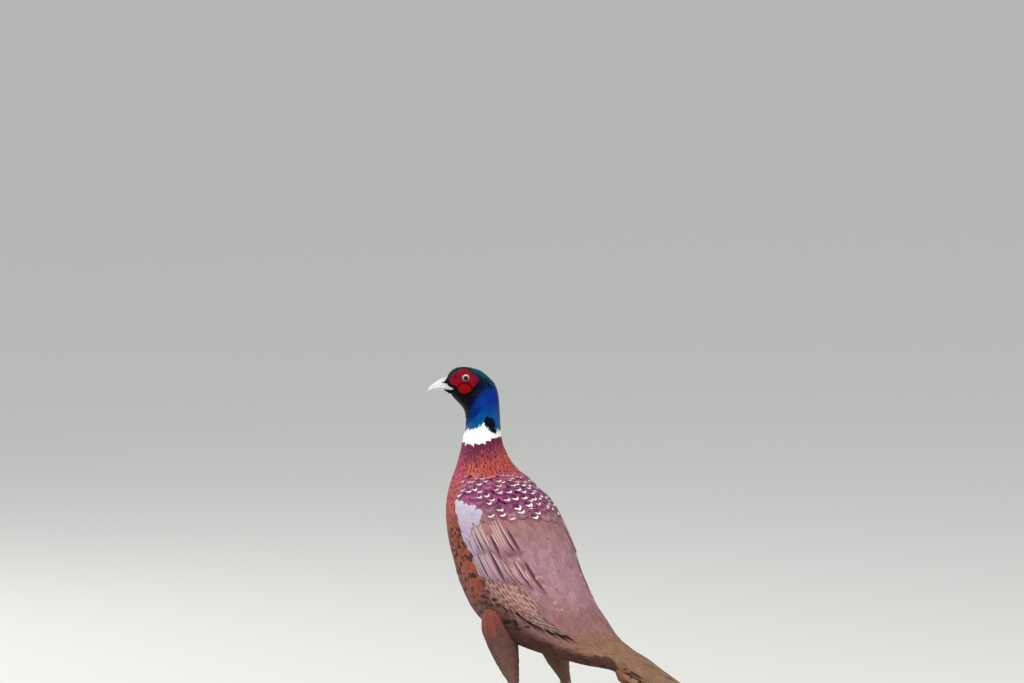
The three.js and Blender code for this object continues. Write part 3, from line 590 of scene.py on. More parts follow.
# BODY FEATHERS
# Contour feathers, each a thin closed vane rooted in the skin and lying towards the tail over the next ones.
# They are set at random with even gaps. Sizes are length, half width, gap, and rise at root and tip, in mm.
FEATHERS = {
    "face": (4.2, 1.2, 1.1, 0.0, 0.4),
    "crown": (7, 1.6, 1.4, 0.0, 0.4),
    "neck": (12, 2.6, 2.1, 0.0, 0.35),
    "collar": (12, 3.4, 2.3, 0.2, 0.35),
    "mantle": (19, 5.0, 4.4, 0.0, 0.7),
    "breast": (22, 5.8, 4.7, 0.0, 0.8),
    "scapular": (31, 8.8, 8.2, 0.4, 1.8),
    "flank": (38, 9.4, 7.6, 0.0, 1.1),
    "belly": (32, 8, 7.0, 0.0, 1.8),
    "back": (36, 6.6, 5.4, 0.4, 1.0),
    "rump": (46, 6.0, 4.6, 0.0, 1.3),
    "vent": (42, 7.0, 6.5, 0.0, 2.2),
}
KINDS = list(FEATHERS)
ROOT_IN_SKIN = 0.3
RUMP_SPREAD = np.radians(6)
# How far the tips of the neck's and the collar's feathers are from their roots, in stations
COLLAR_FEATHER = 0.7


def lifted(rows):
    """How far each row of a vane has risen to its full height: early, so that the tip lies flat."""
    return 1 - (1 - np.asarray(rows)[None]) ** 2.4


def feather_growth(s, kind):
    """The size of the feathers at each station, as a share of their kind's: they grow down the body."""
    growth = np.ones(s.shape)
    for name, first, start, end in (
        ("mantle", 0.62, 13.2, 15.2),
        ("breast", 0.6, 13.2, 15.6),
        ("scapular", 0.62, 15.0, 16.5),
        ("flank", 0.6, 16.9, 19.0),
    ):
        growth = np.where(kind == KINDS.index(name), first + (1 - first) * smooth(s, start, end), growth)
    return growth


def kind_at(s, theta):
    """The number of the kind of feather that grows at each place. A later kind goes over an earlier one."""
    turned = np.abs(np.degrees(theta))
    upper, lower = collar_edges(theta)
    kind = np.full(s.shape, KINDS.index("belly"))
    for name, here in (
        ("vent", (turned > 90) & (s > 21.5)),
        ("rump", (turned <= 96) & (s > 20.8)),
        ("back", (turned <= 84) & (s <= 20.8)),
        ("flank", (turned > 80) & (turned < 146) & (s > 16.9) & (s <= 21.5)),
        ("breast", (s <= 17.0 + (turned > 146)) & (turned >= 60)),
        ("scapular", (s > 15.0) & (s <= 17.05 - 1.15 * smooth(turned, 38, 74)) & (turned < 84)),
        ("mantle", (s <= 15.0) & (turned < 84)),
        ("collar", s < lower - COLLAR_FEATHER),
        ("neck", s < upper - COLLAR_FEATHER),
        ("crown", s < 7.3),
        ("face", s < 2.6),
    ):
        kind[here] = KINDS.index(name)
    return kind


# The upper edge of the pale corner of the mouth, forward and up in the head's own frame
GAPE_TOP = np.array([[36.5, 437.9], [38.6, 438.9], [42, 440.2], [45, 442.2], [47.5, 443.6], [52, 445.0]])
# The bare red skin round the eye: angle from the bill's side upwards, and reach from the eye in millimetres.
# Feathers start a little inside its edge.
EYE_AT = (22.4, 451.8)
WATTLE_OVERLAP = 0.6
WATTLE_OUTLINE = np.array([
    [0, 19], [18, 15.6], [40, 12.6], [70, 10.4], [106, 9.2], [150, 8.8], [172, 14.0], [184, 16.0],
    [198, 17.0], [212, 15.4], [232, 15.0], [248, 17.8], [270, 19.7], [290, 19.2], [308, 17.0], [320, 14.8],
    [336, 19.2], [350, 20.8], [360, 19],
])


def bare_at(s, theta):
    """Where the wattles and the corners of the mouth leave no room for feathers."""
    ahead, height = in_mid_plane(s, theta)
    side = np.abs(out_to_left(s, theta))
    forward, up = ahead - EYE_AT[0], height - EYE_AT[1]
    angle = np.degrees(np.arctan2(up, forward)) % 360
    reach = on_line(WATTLE_OUTLINE, angle) - WATTLE_OVERLAP
    on_wattle = (np.hypot(forward, up) < reach) & (side > 5) & (s < 8)
    on_gape = (ahead > 40) & (height > 435.6) & (height < on_line(GAPE_TOP, ahead) + 0.3)
    return on_wattle | (on_gape & (side > 2) & (s < 4))


def spaced(points, gaps):
    """The points that stay when each one clears its gap around it of those that come later."""
    tree = KDTree(len(points))
    for i, place in enumerate(points):
        tree.insert(place, i)
    tree.balance()
    taken = np.zeros(len(points), bool)
    staying = []
    for i, gap in enumerate(gaps):
        if not taken[i]:
            staying.append(i)
            for _, j, _ in tree.find_range(points[i], gap):
                taken[j] = True
    return np.array(staying)


def scattered(seed, gap=None, low=0.15, high=LAST_STATION - 1.2, tries=420000, kept=150000):
    """Places over the whole form, at random, none nearer to another than the gap, or else its kind's gap."""
    random = np.random.default_rng(seed)
    s = random.uniform(low, high, tries)
    theta = random.uniform(-math.pi, math.pi, tries)
    if gap:
        gaps = np.full(s.shape, gap)
    else:
        kind = kind_at(s, theta)
        gaps = np.array([FEATHERS[k][2] for k in KINDS])[kind] * feather_growth(s, kind)
    point, _, _, speed, turn = frame_at(plumage, s, theta)
    weight = speed * turn / gaps**2
    chosen = random.choice(tries, kept, replace=False, p=weight / weight.sum())
    s, theta = s[chosen], theta[chosen]
    staying = spaced(point[chosen], gaps[chosen])
    return s[staying], theta[staying]


def combed(surface, s, theta, length, aim, rows):
    """The way each feather runs over a surface from its root, turned by aim towards the bird's left."""
    path_s, path_t = [s], [theta]
    for step in np.diff(rows):
        _, _, _, speed, turn = frame_at(surface, path_s[-1], path_t[-1])
        path_s.append(path_s[-1] + step * length * np.cos(aim) / speed)
        path_t.append(path_t[-1] + step * length * np.sin(aim) / turn)
    return np.stack(path_s, 1), np.stack(path_t, 1)


def closed_sheets(upper, lower, rows, shape, flip=False):
    """Closed vanes from their two sides, which share the rim: points, faces, and each point's vane map."""
    count, lines, columns = upper.shape[:3]
    inner = lower[:, 1:-1, 1:-1].reshape(count, -1, 3)
    vertices = np.concatenate([upper.reshape(count, -1, 3), inner], 1)
    top_ids = np.arange(lines * columns).reshape(lines, columns)
    low_ids = top_ids.copy()
    low_ids[1:-1, 1:-1] = lines * columns + np.arange(inner.shape[1]).reshape(lines - 2, columns - 2)
    quads = grid_faces(lines, columns)
    quads = np.concatenate([top_ids.reshape(-1)[quads], low_ids.reshape(-1)[quads][:, ::-1]])
    if flip:
        quads = quads[:, ::-1]
    each = vertices.shape[1]
    faces = (np.arange(count)[:, None, None] * each + quads[None]).reshape(-1, 4)
    along = np.repeat(np.asarray(rows)[:, None], columns, 1)
    sideways = 0.5 + 0.5 * np.linspace(-1, 1, columns) * np.asarray(shape)[:, None]
    grid = np.stack([sideways, along], -1)
    chart = np.concatenate([grid.reshape(-1, 2), grid[1:-1, 1:-1].reshape(-1, 2)])
    return vertices, faces, np.broadcast_to(chart, (count, each, 2))


def vanes(
    surface, path, rows, shape, half, rise, columns, thick, camber, fray, tilt=0.0, ragged=0.0, seed=1
):
    """Closed vanes along their paths over a surface. rise is the height of each row over it, fray draws
    single barbs of the tip in or out, tilt lifts one edge and ragged frays both."""
    random = np.random.default_rng(seed)
    path_s, path_t = path
    count, lines = path_s.shape
    across = np.linspace(-1, 1, columns)
    _, _, _, speed, turn = frame_at(surface, path_s, path_t)
    run_s = np.gradient(path_s, axis=1) * speed
    run_t = np.gradient(path_t, axis=1) * turn
    aim = np.arctan2(run_t, run_s)[..., None]
    span = np.abs(np.hypot(run_s, run_t)).sum(1)
    wide = half[:, None, None] * np.asarray(shape)[None, :, None] * across
    wide = wide + ragged * random.uniform(-1, 1, (count, lines, columns)) * across**8 * (wide != 0)
    loose = random.uniform(-1, 1, (count, 1, columns)) * (span[:, None, None] * fray)
    loose = loose * np.asarray(rows)[None, :, None] ** 4
    s = path_s[..., None] + (loose * np.cos(aim) - wide * np.sin(aim)) / speed[..., None]
    t = path_t[..., None] + (loose * np.sin(aim) + wide * np.cos(aim)) / turn[..., None]
    point, _, normal, _, _ = frame_at(surface, s, t)
    bow = 1 - across**2
    height = rise[..., None] + bow * half[:, None, None] * camber * np.asarray(shape)[None, :, None]
    height = height + tilt * across
    depth = np.sqrt(bow) * np.sqrt(np.clip(1 - np.abs(2 * np.asarray(rows) - 1) ** 6, 0, 1))[:, None]
    upper = point + normal * height[..., None]
    lower = point + normal * (height - thick * depth)[..., None]
    return closed_sheets(upper, lower, rows, shape)


# Edges sharper than this stay crisp, and each feather's colour is baked in a small patch of the skin's chart
RIM_ANGLE = math.radians(60)
PATCH = 0.003


def feather_piece(name, made, roots, tone, material, mirror=False):
    """One joined mesh of vanes, with each one's colour, its vane map and its patch on the skin's chart."""
    vertices, faces, chart = made
    each = vertices.shape[1]
    piece = make_object(name, vertices.reshape(-1, 3), [faces], material, mirror)
    piece.data.set_sharp_from_angle(angle=RIM_ANGLE)
    give_colour(piece.data, "Tone", np.repeat(tone, each, axis=0))
    give_uv(piece.data, "Vane", chart.reshape(-1, 2))
    patch = np.asarray(roots)[:, None, :] + PATCH * (chart - 0.5)
    give_uv(piece.data, "OFBake", patch.reshape(-1, 2))
    return piece


def inside(tree, vane, centre, wide, tall, soft=0.1, shift=0.0):
    """A mask that is one inside an ellipse on a vane: its middle along it, and its half sizes."""
    x = add(tree, "ShaderNodeMath", {0: vane.side, 1: shift}, operation="SUBTRACT")
    x = add(tree, "ShaderNodeMath", {0: x.outputs[0], 1: wide}, operation="DIVIDE")
    y = add(tree, "ShaderNodeMath", {0: vane.reach, 1: centre}, operation="SUBTRACT")
    y = add(tree, "ShaderNodeMath", {0: y.outputs[0], 1: tall}, operation="DIVIDE")
    x2 = add(tree, "ShaderNodeMath", {0: x.outputs[0], 1: x.outputs[0]}, operation="MULTIPLY")
    both = {0: y.outputs[0], 1: y.outputs[0], 2: x2.outputs[0]}
    d2 = add(tree, "ShaderNodeMath", both, operation="MULTIPLY_ADD")
    d = add(tree, "ShaderNodeMath", {0: d2.outputs[0], 1: 0.5}, operation="POWER")
    fade = {0: d.outputs[0], 1: 1 - soft, 2: 1 + soft, 3: 1.0, 4: 0.0}
    return add(tree, "ShaderNodeMapRange", fade, interpolation_type="SMOOTHSTEP").outputs[0]


def marked(tree, colour, *marks):
    """A feather's colour with its marks over it in turn: each one's colour, its mask, and what thins that."""
    for code, mask, *shares in marks:
        for thin in shares:
            mask = add(tree, "ShaderNodeMath", {0: mask, 1: thin}, operation="MULTIPLY").outputs[0]
        colour = add(tree, "ShaderNodeMix", {0: mask, 6: colour, 7: rgba(code)}, data_type="RGBA").outputs[2]
    return colour


def mottling(tree, vane, scale, detail, stretch=(1.0, 1.0, 1.0)):
    """An uneven pattern over a vane, drawn out along it where it is stretched."""
    place = add(tree, "ShaderNodeCombineXYZ", {0: vane.side, 1: vane.reach})
    drawn = add(tree, "ShaderNodeVectorMath", {0: place.outputs[0], 1: stretch}, operation="MULTIPLY")
    noise = add(tree, "ShaderNodeTexNoise", {"Vector": drawn.outputs[0], "Scale": scale, "Detail": detail})
    return noise.outputs["Fac"]


def dark_dash(tree, colour, vane):
    # A narrow black streak towards the tip
    return marked(tree, colour, ("#12060A", inside(tree, vane, 0.82, 0.22, 0.17, 0.2), vane.strength))


def dark_tip(tree, colour, vane):
    # A narrow black notch at the tip of a glossy feather
    return marked(tree, colour, ("#1E0710", inside(tree, vane, 0.98, 0.3, 0.09, 0.3), vane.strength))


def cream_crescent(tree, colour, vane):
    # A cream crescent near the tip, thicker on one side, round a dark heart and with a dark line outside it
    heart = inside(tree, vane, 0.6, 0.42, 0.2, 0.3)
    outer = inside(tree, vane, 0.73, 0.5, 0.155, 0.08)
    inner = inside(tree, vane, 0.66, 0.5, 0.125, 0.15, 0.12)
    around = inside(tree, vane, 0.75, 0.66, 0.2, 0.15)
    ring = add(tree, "ShaderNodeMath", {0: outer, 1: inner}, operation="SUBTRACT", use_clamp=True).outputs[0]
    return marked(
        tree,
        colour,
        ("#2E0C26", around, vane.strength, 0.75),
        ("#5A1C42", heart, 0.35),
        ("#FBF0E4", ring, vane.strength),
    )


def black_spot(tree, colour, vane):
    # A broad black spot on the tip
    return marked(tree, colour, ("#0A0608", inside(tree, vane, 0.92, 0.68, 0.13, 0.2), vane.strength))


def pale_streaks(tree, colour, vane):
    # Loose barbs: fine streaks of a lighter and a darker tone along the feather
    grain = mottling(tree, vane, 1.0, 2.0, (9.0, 1.6, 1.0))
    pale = add(tree, "ShaderNodeMapRange", {0: grain, 1: 0.5, 2: 0.75, 3: 0.0, 4: 0.5}).outputs[0]
    dark = add(tree, "ShaderNodeMapRange", {0: grain, 1: 0.5, 2: 0.3, 3: 0.0, 4: 0.35}).outputs[0]
    return marked(tree, colour, ("#C99AA4", pale, vane.strength), ("#4A2638", dark))


# Rows along each kind of vane as shares of its length, and its width there as shares of the widest
ROUND = np.array([[0, 0.22, 0.5, 0.76, 0.92, 1], [0.35, 0.75, 1.0, 0.95, 0.66, 0.25]])
SMALL = np.array([[0, 0.35, 0.75, 1], [0.5, 1.0, 0.85, 0.3]])
LOOSE = np.array([[0, 0.2, 0.45, 0.7, 0.88, 1], [0.4, 0.85, 1.0, 0.92, 0.75, 0.5]])
COATS = {
    # kind: finish, vane, columns, thickness, fray, roughness, metallic, root shade, spread of tone, marks
    "face": ("velvety_face_feather", SMALL, 3, 0.2, 0.06, 0.5, 0.3, 0.9, 0.1, None),
    "crown": ("glossy_crown_feather", SMALL, 4, 0.2, 0.06, 0.38, 0.6, 0.9, 0.14, None),
    "neck": ("iridescent_neck_feather", ROUND, 4, 0.2, 0.08, 0.36, 0.7, 0.95, 0.08, None),
    "collar": ("white_collar_feather", ROUND, 5, 0.2, 0.08, 0.8, 0.0, 0.95, 0.02, None),
    "mantle": ("copper_mantle_feather", ROUND, 6, 0.25, 0.06, 0.5, 0.1, 0.85, 0.14, dark_dash),
    "breast": ("maroon_breast_feather", ROUND, 6, 0.28, 0.06, 0.45, 0.15, 0.9, 0.1, dark_tip),
    "scapular": ("spangled_shoulder_feather", ROUND, 7, 0.32, 0.05, 0.5, 0.05, 0.75, 0.16, cream_crescent),
    "flank": ("copper_flank_feather", ROUND, 7, 0.32, 0.07, 0.5, 0.05, 0.7, 0.16, black_spot),
    "belly": ("belly_down", LOOSE, 6, 0.4, 0.16, 0.8, 0.0, 0.7, 0.18, pale_streaks),
    "back": ("mauve_back_feather", LOOSE, 7, 0.3, 0.1, 0.65, 0.0, 0.75, 0.16, pale_streaks),
    "rump": ("loose_rump_feather", LOOSE, 6, 0.3, 0.14, 0.65, 0.0, 0.75, 0.16, pale_streaks),
    "vent": ("vent_down", LOOSE, 6, 0.4, 0.2, 0.8, 0.0, 0.7, 0.18, pale_streaks),
}


def mark_strengths(kind, stations, random):
    """How strongly each feather of a kind shows its marks: some hardly do."""
    count = len(stations)
    if kind == "scapular":
        shown = np.where(random.uniform(0, 1, count) < 0.25, 0.1, random.uniform(0.6, 1, count))
        return smooth(stations, 15.3, 16.0) * shown
    if kind == "flank":
        return np.where(random.uniform(0, 1, count) < 0.4, 0.15, random.uniform(0.7, 1, count))
    ranges = {"mantle": (0.5, 1), "breast": (0.2, 0.9), "belly": (0, 0.25), "vent": (0, 0.25)}
    return random.uniform(*ranges[kind], count) if kind in ranges else np.ones(count)


def body_coat():
    s, theta = scattered(seed=11)
    kinds = kind_at(s, theta)
    kinds[bare_at(s, theta)] = -1
    turned = np.abs(np.degrees(theta))
    # The wing's own feathers cover the arm and the bend, where only the scapulars reach over them
    under_wing = (wing_height(s, theta) > 1.5) & (turned > on_line(WING_TOP, s) + 16)
    on_bend = (s > 16.28) & (s < 16.9) & (turned > 74) & (turned < on_line(WING_FOOT, s) - 2)
    kinds[(under_wing | on_bend) & (kinds != KINDS.index("scapular"))] = -1
    for number, kind in enumerate(KINDS):
        length, half, _, low, high = FEATHERS[kind]
        name, (rows, shape), columns, thick, fray, rough, metal, shade, vary, marks = COATS[kind]
        random = np.random.default_rng(100 + number)
        chosen = kinds == number
        fs, ft = s[chosen], theta[chosen]
        count = len(fs)
        size = random.uniform(0.88, 1.12, count) * feather_growth(fs, kinds[chosen])
        aim = np.radians(random.uniform(-7, 7, count))
        if kind == "rump":
            aim = aim + np.sign(ft) * RUMP_SPREAD
        path = combed(plumage, fs, ft, length * size, aim, rows)
        tips = high * random.uniform(0.92, 1.08, count)
        lift = lifted(rows)
        rise = (low - coat_depth(fs) - ROOT_IN_SKIN)[:, None] * (1 - lift) + tips[:, None] * lift
        bow = 0.03 if kind in ("neck", "collar") else 0.07
        seed = 200 + number
        made = vanes(plumage, path, rows, shape, half * size, rise, columns, thick, bow, fray, seed=seed)
        # A feather has the colour of the place near its tip, with a few strays, and none of them over the
        # lower edge of the white collar
        stray = 0.25 if kind in ("back", "rump") else 0.12
        tip_s, tip_theta = path[0][:, -2], path[1][:, -2]
        near_tip = tip_s + random.normal(0, stray, count) * (fs > 13.6)
        ring_edge = collar_edges(tip_theta)[1]
        if kind in ("mantle", "breast"):
            near_tip = np.maximum(near_tip, ring_edge + 0.08)
        if kind == "collar":
            near_tip = np.minimum(near_tip, ring_edge - 0.08)
        tone = plumage_colour(near_tip, tip_theta) * random.uniform(1 - vary, 1 + vary, (count, 1))
        strength = mark_strengths(kind, tip_s, random)
        finish = feather_finish(name, marks, rough, metal, shade)
        tone = np.concatenate([tone, strength[:, None]], 1)
        piece = feather_piece(kind + "_feathers", made, skin_chart(fs, ft), tone, finish)


body_coat()


# WINGS
# The folded wing: a covered arm, then tiers of stiff feathers, each with its lower edge over the upper edge
# of the next one down. Small coverts lie over the arm and long loose ones over the quills. Lifts are in mm.
LAVENDER = linear("#B4A4BA")
LAVENDER_PALE = linear("#C6BCCE")
COVERT_BROWN = linear("#9A686A")
SECONDARY_BROWN = linear("#6E4038")
PRIMARY_BROWN = linear("#5A4A41")
# The lavender patch: its upper edge at each station, and the station of its hind edge at each angle
PATCH_TOP = np.array([[16.3, 84], [16.5, 74], [16.8, 60], [17.2, 54], [18.5, 62]])
PATCH_END = np.array([[56, 16.95], [66, 17.2], [86, 17.75]])
QUILL = np.array([
    [0, 0.1, 0.25, 0.42, 0.6, 0.76, 0.88, 0.96, 1],
    [0.35, 0.62, 0.86, 0.98, 1.0, 0.94, 0.74, 0.44, 0.16],
])
WING_TIERS = [
    # name, count, roots low and high, tips low and high, half width, share of the wing's height under them,
    # lift at root and tip, and spread of the tips in degrees
    ("primaries", 9, (18.3, 76), (18.3, 56), (22.7, 69), (24.5, 44), 8.5, 0.25, 0.4, 0.5, 1.0),
    ("secondaries", 12, (18.0, 87), (18.3, 46), (20.9, 85), (23.3, 37), 9.0, 0.6, 0.5, 0.7, 1.2),
    ("tertials", 6, (17.7, 56), (17.8, 38), (21.0, 50), (22.6, 31), 10.5, 0.75, 0.6, 0.9, 2.0),
    ("greater_coverts", 15, (17.5, 89), (17.6, 42), (19.7, 88), (20.9, 35), 7.6, 0.92, -1.0, 0.7, 2.6),
    ("median_coverts", 18, (17.0, 90), (17.0, 44), (18.6, 90), (19.1, 40), 6.4, 1.0, -1.6, 0.9, 2.6),
]


def crooked_bars(tree, vane, along, ripples, waver, scale, detail):
    """A wave along a vane that wavers: its crests are bars."""
    straight = add(tree, "ShaderNodeMath", {0: along, 1: ripples}, operation="MULTIPLY").outputs[0]
    bends = {0: mottling(tree, vane, scale, detail), 1: waver, 2: straight}
    crooked = add(tree, "ShaderNodeMath", bends, operation="MULTIPLY_ADD").outputs[0]
    return add(tree, "ShaderNodeMath", {0: crooked}, operation="SINE").outputs[0]


def pale_bars(tree, colour, vane):
    # Irregular buff bars across a brown quill, and a pale edge
    wave = crooked_bars(tree, vane, vane.reach, 62.0, 7.0, 5.0, 2.0)
    bars = add(tree, "ShaderNodeMapRange", {0: wave, 1: 0.35, 2: 0.8, 3: 0.0, 4: 0.6}).outputs[0]
    edge = add(tree, "ShaderNodeMapRange", {0: vane.out, 1: 0.7, 2: 0.95, 3: 0.0, 4: 0.5}).outputs[0]
    return marked(tree, colour, ("#C3A08C", bars), ("#D8BBAE", edge))


def violet_streak(tree, colour, vane):
    # A dark violet streak along the shaft, mottled vanes and a pale, worn edge
    streak = inside(tree, vane, 0.72, 0.3, 0.26, 0.35)
    grain = mottling(tree, vane, 2.0, 3.0, (5.0, 1.3, 1.0))
    mottle = add(tree, "ShaderNodeMapRange", {0: grain, 1: 0.45, 2: 0.7, 3: 0.0, 4: 0.5}).outputs[0]
    edge = add(tree, "ShaderNodeMapRange", {0: vane.out, 1: 0.55, 2: 0.95, 3: 0.0, 4: 0.6}).outputs[0]
    return marked(
        tree,
        colour,
        ("#8A5C68", mottle, vane.strength),
        ("#E2CFC6", edge, vane.strength),
        ("#3A2046", streak, vane.strength, 0.85),
    )


def soft_shaft(tree, colour, vane):
    # A fine darker shaft on a plain pale covert
    return marked(tree, colour, ("#8F88A8", inside(tree, vane, 0.5, 0.09, 0.5, 0.4), 0.25))


def wing_arm(name, material, mirror):
    """The closed form of the arm under the coverts."""
    s = np.linspace(16.02, 20.4, 46)[:, None]
    share = np.linspace(-0.12, 1.08, 40)[None, :]
    low, high = np.radians(on_line(WING_TOP, s)), np.radians(on_line(WING_FOOT, s))
    theta = low + (high - low) * share
    s = np.broadcast_to(s, theta.shape)
    over = raised(body, s, theta, np.maximum(wing_height(s, theta) - 1.3, -3.0))
    under = raised(body, s, theta, -5.0 + 0 * s)[:, ::-1]
    vertices, faces = tube_with_ends(np.concatenate([over, under], 1))
    arm = make_object("wing_arm_" + name, vertices, faces, material, mirror)
    # The arm is the coverts' lavender, darker as painted shade under the coverts that lie over it
    give_colour(arm.data, "Tone", np.broadcast_to(LAVENDER * 0.7, (len(vertices), 3)))
    chart = skin_chart(s, theta)
    chart = np.concatenate([chart, chart[:, ::-1]], 1).reshape(-1, 2)
    give_uv(arm.data, "OFBake", np.concatenate([chart, chart[:1], chart[-1:]]))
    give_uv(arm.data, "Vane", np.full((len(vertices), 2), 0.5))
    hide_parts("wing_" + name)


def lesser_coverts(name, random, material, mirror):
    """Small round feathers over the arm and the wing's bend, which make the lavender patch."""
    rows, shape = ROUND
    s, theta = scattered(seed=37, gap=3.6, low=16.3, high=17.75, tries=60000, kept=20000)
    turned = np.degrees(theta)
    chosen = (turned > on_line(PATCH_TOP, s)) & (turned < on_line(WING_FOOT, s) + 2)
    chosen = chosen & (s < on_line(PATCH_END, turned))
    fs, ft = s[chosen], theta[chosen]
    count = len(fs)
    size = random.uniform(0.9, 1.1, count)
    aim = np.radians(random.uniform(-6, 6, count))
    path = combed(plumage, fs, ft, 15 * size * (1 + 0.5 * smooth(fs, 16.8, 17.7)), aim, rows)
    lift = lifted(rows)
    rise = -1.6 * (1 - lift) + random.uniform(1.35, 1.5, count)[:, None] * lift
    made = vanes(plumage, path, rows, shape, 5.2 * size, rise, 5, 0.3, 0.08, 0.05, seed=340)
    tone = mix(LAVENDER_PALE, LAVENDER, smooth(fs, 16.3, 17.6)[:, None])
    tone = tone * random.uniform(0.95, 1.05, (count, 1))
    piece = feather_piece("lesser_coverts_" + name, made, skin_chart(fs, ft), tone, material, mirror)


def wing(name, mirror):
    random = np.random.default_rng(71)
    lavender = feather_finish("lavender_wing_covert", soft_shaft, 0.65, 0.0, 0.92)
    streaked = feather_finish("streaked_wing_covert", violet_streak, 0.6, 0.0, 0.85)
    quill = feather_finish("barred_wing_quill", pale_bars, 0.5, 0.0, 0.75)
    wing_arm(name, lavender, mirror)
    rows, shape = QUILL
    for tier, sizes in enumerate(WING_TIERS):
        kind, count, root0, root1, tip0, tip1, half, under, low, high, spread = sizes
        share = np.linspace(0, 1, count)

        def layer(s, theta):
            return raised(body, s, theta, under * wing_height(s, theta))

        fs = mix(root0[0], root1[0], share)
        ft = np.radians(mix(root0[1], root1[1], share))
        power = 2.0 if kind == "greater_coverts" else 1.0
        ends = mix(tip0[0], tip1[0], share**power) + random.uniform(-0.1, 0.1, count)
        turn = np.radians(mix(tip0[1], tip1[1], share) + random.uniform(-1, 1, count) * spread)
        path = fs[:, None] + (ends - fs)[:, None] * rows, ft[:, None] + (turn - ft)[:, None] * rows**1.15
        rise = mix(low, high, rows)[None] + 0.08 * np.arange(count)[:, None]
        size = half * random.uniform(0.92, 1.08, count)
        seed = 310 + tier
        made = vanes(layer, path, rows, shape, size, rise, 9, 0.4, 0.06, 0.04, tilt=0.6, seed=seed)
        strength = np.ones(count)
        if kind == "primaries":
            tone = mix(PRIMARY_BROWN, SECONDARY_BROWN, random.uniform(0, 0.6, (count, 1)))
        elif kind in ("secondaries", "tertials"):
            tone = mix(SECONDARY_BROWN, COVERT_BROWN, random.uniform(0.1, 0.9, (count, 1)))
        elif kind == "greater_coverts":
            tone = mix(LAVENDER, COVERT_BROWN, np.clip(share * 0.9 + 0.35, 0, 1)[:, None])
            strength = smooth(share, -0.5, 0.3)
        else:
            tone = mix(LAVENDER, COVERT_BROWN, smooth(share, 0.1, 0.7)[:, None])
            strength = smooth(share, -0.2, 0.4)
        finish = streaked if "coverts" in kind else quill
        tone = np.concatenate([tone, strength[:, None]], 1)
        piece = feather_piece(kind + "_" + name, made, skin_chart(fs, ft), tone, finish, mirror)
    lesser_coverts(name, random, lavender, mirror)


wing("left", mirror=False)
wing("right", mirror=True)


# TAIL
# Nine pairs of long graduated feathers laid like a roof, the middle pair longest and on top. They are olive
# buff with narrow black bars and loose rufous edges. Sizes are in mm, and angles in degrees.
TAIL_LENGTHS = (480, 428, 366, 306, 250, 204, 166, 136, 112)
TAIL_ROOT = (-330, 129)
TAIL_DROOP, TAIL_CURVE = 15, 6
ROOF_SLOPE = math.radians(20)
TAIL_HALF = 16.5
TAIL_STEP = 1.45
RIDGE_START, RIDGE_END, RIDGE_STEP = -60, 560, 4.0
RIDGE_STEPS = np.arange(RIDGE_START, RIDGE_END, RIDGE_STEP)
RIDGE_FALL = np.radians(TAIL_DROOP - TAIL_CURVE * np.clip(RIDGE_STEPS, 0, None) / TAIL_LENGTHS[0])
RIDGE_X = TAIL_ROOT[0] - RIDGE_START * math.cos(RIDGE_FALL[0]) - np.cumsum(np.cos(RIDGE_FALL)) * RIDGE_STEP
RIDGE_Z = TAIL_ROOT[1] - RIDGE_START * math.sin(RIDGE_FALL[0]) - np.cumsum(np.sin(RIDGE_FALL)) * RIDGE_STEP
RIDGE_ROUND = 5


def roof(distance, across):
    """The tail's upper surface, by the distance along its ridge and the distance to its left, in mm."""
    x = np.interp(distance, RIDGE_STEPS, RIDGE_X)
    z = np.interp(distance, RIDGE_STEPS, RIDGE_Z)
    drop = np.hypot(across, RIDGE_ROUND) - RIDGE_ROUND
    return np.stack([x, across * math.cos(ROOF_SLOPE), z - drop * math.sin(ROOF_SLOPE)], -1)


# The tail coverts start inside the rump, ahead of the tail's root, and fan out from where their lines meet
COVERT_START, COVERT_MEET = 34, 40
TAIL_COVERTS = [
    # length, angle across the tail in degrees, and lift over its upper feathers
    (150, 1, 5.6), (138, 4, 5.0), (132, -3, 5.3), (120, 6, 4.2), (112, 7.2, 3.2), (98, 8, 2.4), (86, 9, 1.6),
]


def tail_bars(tree, colour, vane):
    # Narrow black bars on olive buff, bent back at their ends, with loose rufous edges
    bent = add(tree, "ShaderNodeMath", {0: vane.out, 1: -0.012, 2: vane.reach}, operation="MULTIPLY_ADD")
    wave = crooked_bars(tree, vane, bent.outputs[0], 150.0, 3.2, 6.0, 3.0)
    bars = add(tree, "ShaderNodeMapRange", {0: wave, 1: 0.55, 2: 0.82, 3: 0.0, 4: 0.92}).outputs[0]
    halo = add(tree, "ShaderNodeMapRange", {0: wave, 1: 0.1, 2: 0.6, 3: 0.0, 4: 0.3}).outputs[0]
    middle = add(tree, "ShaderNodeMapRange", {0: vane.out, 1: 0.7, 2: 0.5, 3: 0.0, 4: 1.0}).outputs[0]
    edge = add(tree, "ShaderNodeMapRange", {0: vane.out, 1: 0.5, 2: 0.85, 3: 0.0, 4: 0.8}).outputs[0]
    shaft = inside(tree, vane, 0.5, 0.035, 0.55, 0.4)
    marks = ("#6E5232", halo), ("#8A5644", edge), ("#1A120E", bars, middle), ("#4A3825", shaft)
    return marked(tree, colour, *marks)


TAIL_BUFF = linear("#A58858")
TAIL_RUFOUS = linear("#8C6A4C")
COVERT_BUFF = linear("#8A7148")


